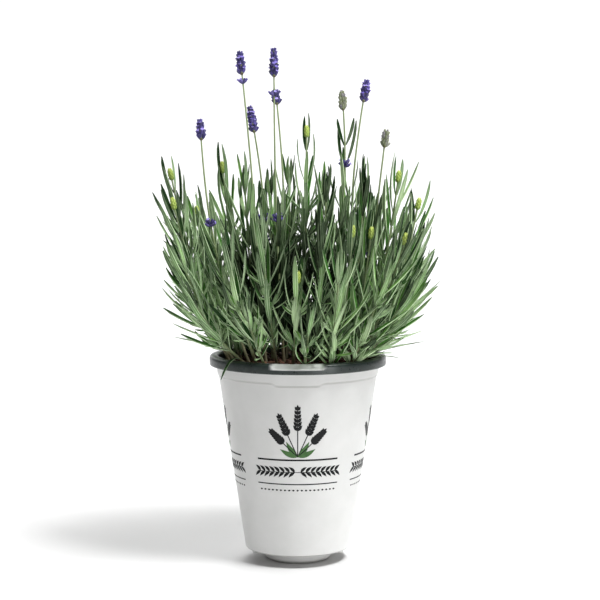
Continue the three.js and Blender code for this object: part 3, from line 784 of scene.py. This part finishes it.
class Growth:
    """Points and faces of many closed bodies, with the numbers at each point for the material."""

    def __init__(self):
        self.points, self.faces = [], []
        self.own = {"pale": [], "tint": [], "along": [], "clump_shade": []}

    def loft(self, rings, pale, tint, along):
        """A closed body through rings of points; pale has one number for each point of a ring."""
        start, count = len(self.points), len(rings[0])
        for i, ring in enumerate(rings):
            self.points += ring
            self.own["pale"] += pale
            self.own["tint"] += [tint] * count
            self.own["along"] += [along[i]] * count
            self.own["clump_shade"] += [clump_shade_share(p) for p in ring]
        for i in range(len(rings) - 1):
            low, high = start + i * count, start + (i + 1) * count
            for k in range(count):
                n = (k + 1) % count
                self.faces.append((low + k, low + n, high + n, high + k))
        self.faces.append(tuple(range(start + count - 1, start - 1, -1)))
        end = start + (len(rings) - 1) * count
        self.faces.append(tuple(range(end, end + count)))

    def piece(self, name, finish, slot, smooth_angle=70):
        grown = bpy.data.meshes.new("grown")
        grown.from_pydata(self.points, [], self.faces)
        for key, values in self.own.items():
            grown.attributes.new(key, "FLOAT", "POINT").data.foreach_set("value", values)
        bm = bmesh.new()
        bm.from_mesh(grown)
        bpy.data.meshes.remove(grown)
        made = add_piece(name, bm, finish.material, smooth_angle)
        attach(made, "root")
        return made


def plant_point(x, y, height):
    return Vector((x * soil_radius, y * soil_radius, rim_top + height * MM))


def arc(start, middle, end, t):
    return start * (1 - t) ** 2 + middle * 2 * t * (1 - t) + end * t * t


def arc_way(start, middle, end, t):
    return ((middle - start) * (1 - t) + (end - middle) * t).normalized()


def squared(direction):
    """Two directions square to a direction and to each other."""
    helper = Vector((0, 0, 1)) if abs(direction.z) < 0.9 else Vector((1, 0, 0))
    side = direction.cross(helper).normalized()
    return side, side.cross(direction).normalized()


def swung(side, up, angle):
    """The direction at an angle from side, turned towards up."""
    return side * math.cos(angle) + up * math.sin(angle)


def circle(centre, side, up, radius, count=8):
    return [centre + swung(side, up, 2 * math.pi * k / count) * radius for k in range(count)]


RIM_CLEAR = 2.5 * MM
OUTER_RISE = 0.2            # outside the pot a leaf stays above a slope that rises from the rim
SOIL_CLEAR = (15, 27)       # mm that a leaf keeps above the mix
SOIL_CLEAR_LOW = (3, 12)    # and where the clump hangs lower, at the back and the right front
LIFTS = 7                   # times that a leaf may be turned up to come clear


def over_rim(points, above_soil):
    """True where a leaf's points stay clear of the rim, the pot's wall and the mix."""
    for p in points:
        away = math.hypot(p.x, p.y)
        if away < rim_in - 2 * MM:
            if p.z < soil_height(away) + above_soil:
                return False
        elif away < rim_out + 3 * MM:
            if p.z < rim_top + RIM_CLEAR:
                return False
        elif p.z < rim_top + RIM_CLEAR + (away - rim_out) * OUTER_RISE:
            return False
    return True


def add_leaf(growth, rng, base, ahead, towards, length, width, curl, tint,
             steps=LEAF_STEPS, over_edge=False):
    """One leaf from base; its upper face is turned to towards, the stem it grows from."""
    low = base.y > 0 or (base.x > 0 and base.y < -0.55 * soil_radius)
    above_soil = rng.uniform(*(SOIL_CLEAR_LOW if low else SOIL_CLEAR)) * MM
    if not over_edge and base.z < soil_height(math.hypot(base.x, base.y)) + above_soil - 5 * MM:
        return
    for _ in range(LIFTS):
        points = [base + (ahead * t + curl * t * t) * length for t in (i / steps for i in range(steps + 1))]
        if over_edge or over_rim(points[2:], above_soil):
            break
        ahead = (ahead + Vector((0, 0, 0.22))).normalized()
        curl = curl + Vector((0, 0, 0.12))
    else:
        return
    twist = rng.uniform(-0.5, 0.5)
    wave = rng.uniform(0, 6.3)
    rings = []
    for i, p in enumerate(points):
        t = i / steps
        way = (points[min(i + 1, steps)] - points[max(i - 1, 0)]).normalized()
        side = way.cross(towards)
        if side.length < 1e-4:
            side = squared(way)[0]
        side.normalize()
        up = side.cross(way).normalized()
        turn = twist * t + 0.08 * math.sin(wave + 5 * t)
        side, up = swung(side, up, turn), swung(up, -side, turn)
        full = (0.45 + 0.55 * smooth_step(t, 0, 0.4)) * (1 - 0.72 * smooth_step(t, 0.80, 1.0))
        half = width / 2 * full
        rings.append([p + side * (across * half) + up * (rise * half) for across, rise, _ in LEAF_SECTION])
    growth.loft(rings, [row[2] for row in LEAF_SECTION], tint, [i / steps for i in range(steps + 1)])


def leaf_curl(rng, way, away, share):
    """Low leaves arch out and hang; high ones leave the stem wide and then rise beside it."""
    high = smooth_step(share, 0.08, 0.45)
    droop = mix(-0.22, 0.0, high) + rng.uniform(-0.05, 0.05)
    rise = (way * 0.16 - away * 0.20) * high * rng.uniform(0.3, 1.3)
    sway = mix(0.42, 0.09, smooth_step(share, 0.05, 0.6))
    return rise + Vector((rng.uniform(-sway, sway), rng.uniform(-sway, sway), droop + rng.uniform(0, sway)))


LEAF_TINTS = (-0.35, -0.2, 0, 0.15, 0.5)      # a leaf beside a dark one is often pale


def add_pair(growth, rng, base, way, turn, spread, length, width, share, tint,
             steps=LEAF_STEPS, turned=0):
    """Two leaves on either side of a stem; turned swings their faces from the stem to one side."""
    side, up = squared(way)
    for half in (0, math.pi):
        away = swung(side, up, turn + half + rng.uniform(-0.2, 0.2))
        ahead = swung(way, away, math.radians(spread + rng.uniform(-8, 8)))
        towards = way - away * 0.4 + way.cross(away) * turned
        long, wide = length * rng.uniform(0.82, 1.1), width * rng.uniform(0.85, 1.12)
        curl = leaf_curl(rng, way, away, share)
        shade = min(max(tint + rng.choice(LEAF_TINTS) + rng.gauss(0, 0.1), 0), 1)
        foot = base + away * STEM_RADIUS * 0.5
        add_leaf(growth, rng, foot, ahead, towards, long, wide, curl, shade, steps)


def add_tuft(growth, rng, base, way, away, length, share, tint):
    """A young side shoot in a leaf's joint: two or three small crossed pairs close together."""
    axis = (way * 0.85 + away * 0.55).normalized()
    turn = rng.uniform(0, 3)
    for k in range(rng.choice((2, 3))):
        foot = base + axis * (1.5 + 3.2 * k) * MM
        add_pair(growth, rng, foot, axis, turn + k * math.pi / 2, 34 - 9 * k, length * (1 - 0.18 * k),
                 LEAF_WIDTH * 0.62, mix(share, 1, 0.4), tint + 0.25, steps=5)


STEM_STEPS = 26


def add_stem(growth, start, middle, end, foot_radius, tip_radius, joints, ages=(0.0, 1.0)):
    """A squarish stem with a slight swelling at each joint."""
    rings = []
    for i in range(STEM_STEPS + 1):
        t = i / STEM_STEPS
        way = arc_way(start, middle, end, t)
        side, up = squared(way)
        swell = 1 + 0.22 * max([0.0] + [1 - abs(t - j) * 60 for j in joints])
        radius = mix(foot_radius, tip_radius, t) * swell
        centre = arc(start, middle, end, t)
        ring = []
        for k in range(STEM_SIDES):
            angle = 2 * math.pi * (k + 0.5) / STEM_SIDES
            square = 1 + 0.08 * math.cos(4 * angle)
            ring.append(centre + swung(side, up, angle) * radius * square)
        rings.append(ring)
    growth.loft(rings, [0.4] * STEM_SIDES, 0.5, [mix(*ages, i / STEM_STEPS) for i in range(STEM_STEPS + 1)])


# A scale's section: (across, out from the axis) in half widths.
SCALE_SECTION = [(1, -0.45), (0.5, 0.22), (0, 0.47), (-0.5, 0.22), (-1, -0.45), (0, -0.11)]


def add_scale(growth, base, way, away, length, width, along):
    """One pointed scale, hollow side to the axis: the bracts of buds and flower heads."""
    across = way.cross(away).normalized()
    rings = []
    for i in range(6):
        t = i / 5
        bow = away * (0.30 * math.sin(math.pi * min(t * 0.9 + 0.1, 1)) * width)
        p = base + way * length * t + bow
        half = width / 2 * max(math.sin(math.pi * (0.18 + 0.80 * t)) ** 0.8, 0.08)
        rings.append([p + across * half * wide + away * half * out for wide, out in SCALE_SECTION])
    growth.loft(rings, [0.2] * len(SCALE_SECTION), 0.5, [along * i / 5 for i in range(6)])


def add_bud(growth, rng, base, way, length, width):
    """A closed flower head: overlapping scales in crossed pairs round a short core."""
    side, up = squared(way)
    rings = []
    for i in range(9):
        t = i / 8
        half = width / 2 * 0.78 * max(math.sin(math.pi * (0.10 + 0.88 * t)) ** 0.7, 0.12)
        rings.append(circle(base + way * length * 0.92 * t, side, up, half))
    growth.loft(rings, [0.2] * 8, 0.5, [i / 8 for i in range(9)])
    for row in range(6):
        t = row / 6
        for k in range(4):
            away = swung(side, up, row * 0.8 + k * math.pi / 2 + rng.uniform(-0.15, 0.15))
            half = width / 2 * 0.75 * math.sin(math.pi * (0.16 + 0.66 * t)) ** 0.7
            foot = base + way * length * (0.02 + 0.74 * t) + away * half * 0.8
            add_scale(growth, foot, (way + away * mix(0.22, -0.12, t)).normalized(), away,
                      length * 0.36, width * 0.52, 0.5 + 0.5 * t)


def soil_foot(x, y):
    foot = Vector((x * soil_radius, y * soil_radius, 0))
    foot.z = soil_height(math.hypot(foot.x, foot.y)) - 0.5 * MM
    return foot


def stem_course(foot, tip):
    """The middle of a stem's arc, raised until the stem passes clear over the rim."""
    middle = Vector((mix(foot.x, tip.x, 0.62), mix(foot.y, tip.y, 0.62), mix(foot.z, tip.z, 0.42)))
    for _ in range(60):
        points = [arc(foot, middle, tip, k / 24) for k in range(25)]
        near = [p for p in points if rim_in - 2 * MM < math.hypot(p.x, p.y) < rim_out + 2 * MM]
        if all(p.z > rim_top + 2 * MM for p in near):
            break
        middle.z += 1 * MM
    return middle


def grow_leaves(growth, rng, foot, middle, tip, size, last_share, tint):
    """Every pair of leaves and every tuft along a stem; returns the joints' shares of its length."""
    points = [arc(foot, middle, tip, k / 12) for k in range(13)]
    length = sum((high - low).length for low, high in zip(points, points[1:]))
    tuft_chance = 0.85 if math.hypot(foot.x, foot.y) < 0.5 * soil_radius else 0.5
    share, turn, joints = 0.05, rng.uniform(0, 3), []
    while share < last_share:
        way, base = arc_way(foot, middle, tip, share), arc(foot, middle, tip, share)
        full = 0.62 + 0.46 * math.sin(math.pi * min(0.12 + 0.78 * share, 1))
        add_pair(growth, rng, base, way, turn, mix(LOW_SPREAD, TOP_SPREAD, share ** 0.8),
                 LEAF_LENGTH * size * full, LEAF_WIDTH * mix(0.85, 1.05, size), share,
                 tint + 0.25 * (1 - share))
        if share < LAST_TUFT:
            side, up = squared(way)
            for half in (0, math.pi):
                if rng.random() < tuft_chance:
                    young = LEAF_LENGTH * size * rng.uniform(0.34, 0.62)
                    add_tuft(growth, rng, base, way, swung(side, up, turn + half), young, share, tint)
        joints.append(share)
        turn += math.pi / 2
        share += mix(LOW_JOINT, TOP_JOINT, share) * rng.uniform(0.85, 1.15) / length
    return joints


for number, (fx, fy, tx, ty, height, size, has_bud) in enumerate(LEAFY_SHOOTS, 1):
    rng = random.Random(100 + number)
    foot, tip = soil_foot(fx, fy), plant_point(tx, ty, height)
    middle = stem_course(foot, tip)
    leaves, stem, bud = Growth(), Growth(), Growth()
    tint = rng.uniform(0.15, 0.7)
    joints = grow_leaves(leaves, rng, foot, middle, tip, size, 0.86 if has_bud else 0.93, tint)
    way = arc_way(foot, middle, tip, 1)
    add_stem(stem, foot, middle, tip, STEM_RADIUS, TIP_RADIUS, joints)
    if has_bud:
        add_pair(leaves, rng, tip - way * 12 * MM, way, math.pi / 2 + rng.uniform(-0.6, 0.6), 17, 31 * MM,
                 LEAF_WIDTH * 0.85, 1, tint - 0.45, turned=1)
        add_bud(bud, rng, tip - way * 1 * MM, way, 11.5 * MM, 4.6 * MM)
        bud.piece(f"shoot_{number:02d}_bud", bud_green, "foliage")
    else:
        for k in range(3):
            add_pair(leaves, rng, tip - way * (3 - 1.5 * k) * MM, way, joints[-1] + (k + 1) * math.pi / 2,
                     16 - 4 * k, LEAF_LENGTH * size * (0.72 - 0.17 * k), LEAF_WIDTH * 0.8, 1, tint - 0.1)
    for shoot, share, ahead, curl, long_leaf in OVER_THE_EDGE:
        if shoot == number:
            add_leaf(leaves, rng, arc(foot, middle, tip, share), Vector(ahead).normalized(),
                     Vector((0, 0, 1)), long_leaf * MM, LEAF_WIDTH * 0.7, Vector(curl), 0.15, over_edge=True)
    stem.piece(f"shoot_{number:02d}_stem", stem_green, "foliage")
    made = leaves.piece(f"shoot_{number:02d}_leaves", leaf_green, "foliage")
    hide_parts(f"leafy_shoot_{number:02d}")


# ------------------------------------------------------------------------------------------------
# Flowering shoots. Eight shoots like the others whose stem goes on as a long bare stalk. Five carry
# small clusters of flowers at an upper joint, and one has two pairs of leaves on its stalk.

STALK_RADIUS = 0.95 * MM
STALK_STRAIGHT = 0.35       # of the stalk goes on in the stem's direction before it bends
CUP_LENGTH, CUP_WIDTH = 5.2 * MM, 2.1 * MM
FLOWER_SIZE = 2.5 * MM


def cup_finish(name, foot, stops, ridge, least, most):
    """A finish for the cups, coloured from the foot to the mouth, with down on the ridges."""
    finish = Finish(name, 0.7)
    cup = finish.blend(finish.own("along"), foot, finish.ramp(finish.own("tint"), stops))
    patches = finish.range(finish.noise(900), least, most, 0.3, 0.7)
    down = finish.maths("MULTIPLY", finish.own("pale"), patches)
    finish.colour(finish.blend(down, cup, ridge))
    finish.roughness(700, 0.6, 0.85)
    finish.grain(2600, 0.00012, detail=3)
    return finish


sage = cup_finish("unripe_calyx", (0.150, 0.190, 0.095), [
    (0.0, (0.200, 0.235, 0.130)), (0.6, (0.290, 0.320, 0.210)), (1.0, (0.200, 0.160, 0.290)),
], (0.480, 0.500, 0.360), 0.2, 0.8)
violet = cup_finish("lavender_calyx", (0.040, 0.045, 0.075), [
    (0.0, (0.005, 0.004, 0.026)), (0.45, (0.017, 0.013, 0.085)), (0.8, (0.060, 0.044, 0.240)),
    (1.0, (0.200, 0.160, 0.480)),
], (0.190, 0.160, 0.480), 0.3, 0.9)
violet.shader.inputs["Sheen Weight"].default_value = 0.25
violet.shader.inputs["Sheen Roughness"].default_value = 0.35

petal = Finish("lavender_petal", 0.5)
petal.colour(petal.blend(petal.own("along"), (0.100, 0.070, 0.380), petal.ramp(petal.own("tint"), [
    (0.0, (0.110, 0.080, 0.400)), (1.0, (0.420, 0.350, 0.820))])))
petal.roughness(900, 0.4, 0.65)
petal.grain(2200, 0.00010, detail=3)

# foot, tip and spike as above; size of leaf; the spike's length and the bare length above its lowest
# ring in mm; whether it is still unripe; (share of the stalk, length in mm) of leaf pairs on the stalk;
# shares of the stem that carry a cluster of flowers.
FLOWERING_SHOOTS = [
    ((-0.59, -0.36), (-1.07, -0.45, 118), (-1.18, -0.42, 191), 1.0, 19, 0, False, (), (0.985,)),
    ((-0.39, -0.36), (-0.53, -0.39, 124), (-0.67, -0.34, 240), 1.0, 21, 4, False, (), ()),
    ((-0.31, -0.11), (-0.43, -0.11, 136), (-0.54, -0.11, 198), 1.0, 24, 0, False, (), (0.90, 0.78)),
    ((-0.17, -0.31), (-0.27, -0.31, 140), (-0.29, -0.28, 229), 1.0, 26, 13, False, (), (0.88,)),
    ((-0.14, -0.06), (-0.18, 0.03, 144), (-0.26, 0.08, 223), 0.9, 14, 0, False, (), ()),
    ((0.42, 0.00), (0.59, 0.06, 170), (0.57, 0.06, 218), 0.9, 18, 0, True,
     ((0.04, 37), (0.45, 27)), (0.99,)),
    ((0.56, 0.20), (0.70, 0.31, 148), (0.83, 0.34, 226), 1.0, 21, 0, False, (), ()),
    ((0.70, 0.08), (1.00, 0.14, 130), (1.09, 0.17, 185), 1.0, 17, 0, True, (), (0.72,)),
]


# A cup's outline, up its outside and into its mouth: (share of its length, share of its half width).
CUP_OUTLINE = [(0, 0.34), (0.18, 0.62), (0.45, 0.95), (0.7, 1.0), (0.9, 0.84), (1.0, 0.72), (0.86, 0.3)]


def add_calyx(growth, rng, base, way, length, width, tint):
    """One flower's ribbed cup, widest above its middle, with a slightly open toothed mouth."""
    side, up = squared(way)
    turn = rng.uniform(0, 3)
    rings = []
    for share, full in CUP_OUTLINE:
        ring = []
        for k in range(10):
            angle = turn + 2 * math.pi * k / 10
            ridge = 1 + (0.10 if k % 2 else -0.10) * (share > 0.1)
            tooth = 0.05 * (k % 2) * (share == 1.0)
            ring.append(base + way * length * (share + tooth)
                        + swung(side, up, angle) * width / 2 * full * ridge)
        rings.append(ring)
    growth.loft(rings, [0.85 if k % 2 else 0.1 for k in range(10)], tint, [0, 0.3, 0.7, 1, 1, 1, 0.2])


# A lobe's outline: (share of its length, half width and rise in shares of the flower's size).
LOBE_OUTLINE = [(0.12, 0.14, 0.0), (0.45, 0.30, 0.10), (0.8, 0.28, 0.10), (1.0, 0.12, 0.02)]


def add_flower(growth, rng, base, way, size, tint):
    """An open flower: a short tube and five lobes, two above and three below."""
    side, up = squared(way)
    rings = []
    for share, full in ((0, 0.30), (0.5, 0.34), (1.0, 0.52)):
        rings.append(circle(base + way * size * 0.7 * share, side, up, size * 0.5 * full))
    growth.loft(rings, [0.2] * 8, tint, [0, 0.5, 0.8])
    mouth = base + way * size * 0.66
    for degrees in (60, 120, 200, 270, 340):
        away = swung(side, up, math.radians(degrees + rng.uniform(-8, 8)))
        across = way.cross(away).normalized()
        rings = []
        for share, half, rise in LOBE_OUTLINE:
            p = mouth + away * size * 0.62 * share + way * size * rise
            rings.append([p + across * size * half, p + way * size * 0.06, p - across * size * half,
                          p - way * size * 0.05])
        growth.loft(rings, [0.2] * 4, tint, [0.5, 0.8, 1, 1])


def add_ring_of_flowers(cups, open_ones, rng, centre, way, count, lean, size, start, share_open):
    """One whorl: cups side by side round the stalk, some with an open flower."""
    side, up = squared(way)
    for k in range(count):
        away = swung(side, up, start + 2 * math.pi * (k + rng.uniform(-0.18, 0.18)) / count)
        ahead = swung(way, away, math.radians(lean + rng.uniform(-8, 8))).normalized()
        length = CUP_LENGTH * size * rng.uniform(0.88, 1.1)
        base = centre + away * 0.7 * MM + way * rng.uniform(-0.4, 0.4) * MM
        add_calyx(cups, rng, base, ahead, length, CUP_WIDTH * size, rng.random())
        if rng.random() < share_open:
            add_flower(open_ones, rng, base + ahead * length * 0.82, ahead,
                       FLOWER_SIZE * size * rng.uniform(0.8, 1.1), rng.random())


def finish_flowers(name, cups, open_ones, finish, slot):
    """The cups as one piece, which is returned, and the open flowers, where there are any, as another."""
    if open_ones.points:
        open_ones.piece(f"{name}_petals", petal, slot, smooth_angle=60)
    return cups.piece(f"{name}_cups", finish, slot, smooth_angle=50)


spike_places = []
for number, shoot in enumerate(FLOWERING_SHOOTS, 1):
    foot_at, tip_at, spike_at, size, long, bare, unripe, stalk_leaves, clusters = shoot
    rng = random.Random(300 + number)
    foot, tip, spike_foot = soil_foot(*foot_at), plant_point(*tip_at), plant_point(*spike_at)
    middle = stem_course(foot, tip)
    leaves, stem = Growth(), Growth()
    tint = rng.uniform(0.2, 0.7)
    joints = grow_leaves(leaves, rng, foot, middle, tip, size, 0.93, tint)
    add_stem(stem, foot, middle, tip, STEM_RADIUS * 1.05, STALK_RADIUS, joints)
    way = arc_way(foot, middle, tip, 1)
    bow = tip + way * (spike_foot - tip).length * STALK_STRAIGHT
    start = tip - way * 2.6 * MM
    add_stem(stem, start, bow, spike_foot + way * 1 * MM, STALK_RADIUS, STALK_RADIUS * 0.85, [],
             (0.75, 0.95))
    for share, long_leaf in stalk_leaves:
        add_pair(leaves, rng, arc(start, bow, spike_foot, share), arc_way(start, bow, spike_foot, share),
                 math.pi / 2, 26, long_leaf * MM, LEAF_WIDTH * 0.85, 1, -0.25, turned=1.2)
    stem.piece(f"flowering_{number}_stem", stem_green, "foliage")
    made = leaves.piece(f"flowering_{number}_leaves", leaf_green, "foliage")
    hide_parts(f"flowering_shoot_{number}")
    if clusters:
        cups, open_ones = Growth(), Growth()
        for share in clusters:
            joint, up_stem = arc(foot, middle, tip, share), arc_way(foot, middle, tip, share)
            for step in (0, 1.6):
                add_ring_of_flowers(cups, open_ones, rng, joint + up_stem * step * MM, up_stem, 7,
                                    58 - 14 * step, 1.05, rng.uniform(0, 3), 0.3)
        finish_flowers(f"flowering_{number}_cluster", cups, open_ones, violet, "flower_purple")
    spike_places.append((spike_foot, arc_way(start, bow, spike_foot, 1), long, bare, unripe))


# ------------------------------------------------------------------------------------------------
# Flower spikes. Rings of small downy ribbed cups packed round the end of each stalk, with a few open
# violet flowers. Two stand above a separate lower ring; the two unripe ones are still grey-green.

WHORL_PITCH = 3.5 * MM
OPEN_SHARE = 0.45           # of a ripe spike's cups

for number, (spike_foot, way, long, bare, unripe) in enumerate(spike_places, 1):
    rng = random.Random(500 + number)
    cups, open_ones, core = Growth(), Growth(), Growth()
    share_open = 0.0 if unripe else OPEN_SHARE
    foot = spike_foot
    if bare:
        add_ring_of_flowers(cups, open_ones, rng, foot + way * 0.8 * MM, way, 8, 46, 1.0, 0.4, 0.5)
        foot = spike_foot + way * (4.2 + bare) * MM
    top = foot + way * long * MM
    rings = max(round((long * MM - 4.5 * MM) / WHORL_PITCH), 2)
    side, up = squared(way)
    for k in range(rings + 1):
        share = k / rings
        centre = foot + way * mix(0.6 * MM, long * MM - 4.6 * MM, share)
        full = 1.05 - 0.20 * smooth_step(share, 0.65, 1.0)
        count = round(mix(8, 6, smooth_step(share, 0.6, 1.0)))
        add_ring_of_flowers(cups, open_ones, rng, centre, way, count, mix(34, 17, share ** 1.5), full,
                            k * 0.4, share_open if 0 < k < rings else share_open * 0.3)
        for half in (0, math.pi):
            away = swung(side, up, k * math.pi / 2 + half)
            add_scale(core, centre + away * 0.6 * MM - way * 0.5 * MM, (way + away * 0.9).normalized(), away,
                      3.4 * MM * full, 2.6 * MM * full, 0.3)
    stalk_rings = [circle(spike_foot.lerp(top - way * 3 * MM, i / 4), side, up, mix(0.8, 0.45, i / 4) * MM)
                   for i in range(5)]
    core.loft(stalk_rings, [0.4] * 8, 0.5, [0.8, 0.85, 0.9, 0.95, 1.0])
    core.piece(f"spike_{number}_stalk", stem_green, "foliage", smooth_angle=50)
    made = finish_flowers(f"spike_{number}", cups, open_ones, sage if unripe else violet,
                          "flower_faded" if unripe else "flower_purple")
    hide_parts(f"flower_spike_{number}")


# ------------------------------------------------------------------------------------------------
# Studio. A pale seamless sweep, a soft key light high on the right, a low fill at the right front, a
# light on the backdrop and a faint one behind. The camera stands in front, a little above the rim.

SWEEP_HALF, SWEEP_FRONT, SWEEP_BACK, SWEEP_RISE, SWEEP_BEND = 4.0, -3.0, 2.2, 3.0, 0.8
SURROUND = 0.13

sweep_white = Finish("pale_sweep", 0.8)
sweep_white.colour(sweep_white.ramp(sweep_white.noise(3), [
    (0.3, (0.80, 0.80, 0.80)), (0.7, (0.82, 0.82, 0.82))]))
sweep_white.grain(200, 0.00005, detail=2)
bm = bmesh.new()
bend_start = SWEEP_BACK - SWEEP_BEND
profile = [(SWEEP_FRONT, 0.0), (bend_start, 0.0)]
for k in range(1, 17):
    angle = math.pi / 2 * k / 16
    profile.append((bend_start + SWEEP_BEND * math.sin(angle), SWEEP_BEND * (1 - math.cos(angle))))
profile.append((SWEEP_BACK, SWEEP_RISE))
rows = [[bm.verts.new((x, y, z)) for x in (-SWEEP_HALF, SWEEP_HALF)] for y, z in profile]
for low, high in zip(rows, rows[1:]):
    bm.faces.new((low[0], low[1], high[1], high[0]))
sweep = add_piece("pale_sweep", bm, sweep_white.material, smooth_angle=60)

world = bpy.data.worlds.new("white_surround")
bpy.context.scene.world = world
world.use_nodes = True
background = world.node_tree.nodes["Background"]
background.inputs["Color"].default_value = (1, 1, 1, 1)
background.inputs["Strength"].default_value = SURROUND


def soft_light(name, place, aim, size, power):
    lamp = bpy.data.lights.new(name, "AREA")
    lamp.shape = "SQUARE"
    lamp.size = size
    lamp.energy = power
    stand = bpy.data.objects.new(name, lamp)
    bpy.context.collection.objects.link(stand)
    stand.location = place
    stand.rotation_euler = (Vector(aim) - Vector(place)).to_track_quat("-Z", "Y").to_euler()


soft_light("key", (0.56, -0.50, 1.56), (0, 0, 0.2), 0.5, 32)
soft_light("side", (0.9, -1.3, 0.12), (0, 0, -0.1), 0.6, 6.5)
soft_light("backdrop", (0, 1.5, 2.3), (0, 2.2, 1.0), 1.0, 52)
soft_light("behind", (-0.6, 1.0, 0.9), (0, 0, 0.3), 0.5, 3)

camera = bpy.data.cameras.new("camera")
camera.lens = 97.1
camera.sensor_width = 36
stand = bpy.data.objects.new("camera", camera)
bpy.context.collection.objects.link(stand)
stand.location = (0.002, -1.45, 0.36)
stand.rotation_euler = (math.radians(90 - 4.94), 0, 0)
bpy.context.scene.camera = stand
bpy.context.scene.view_settings.view_transform = "Standard"
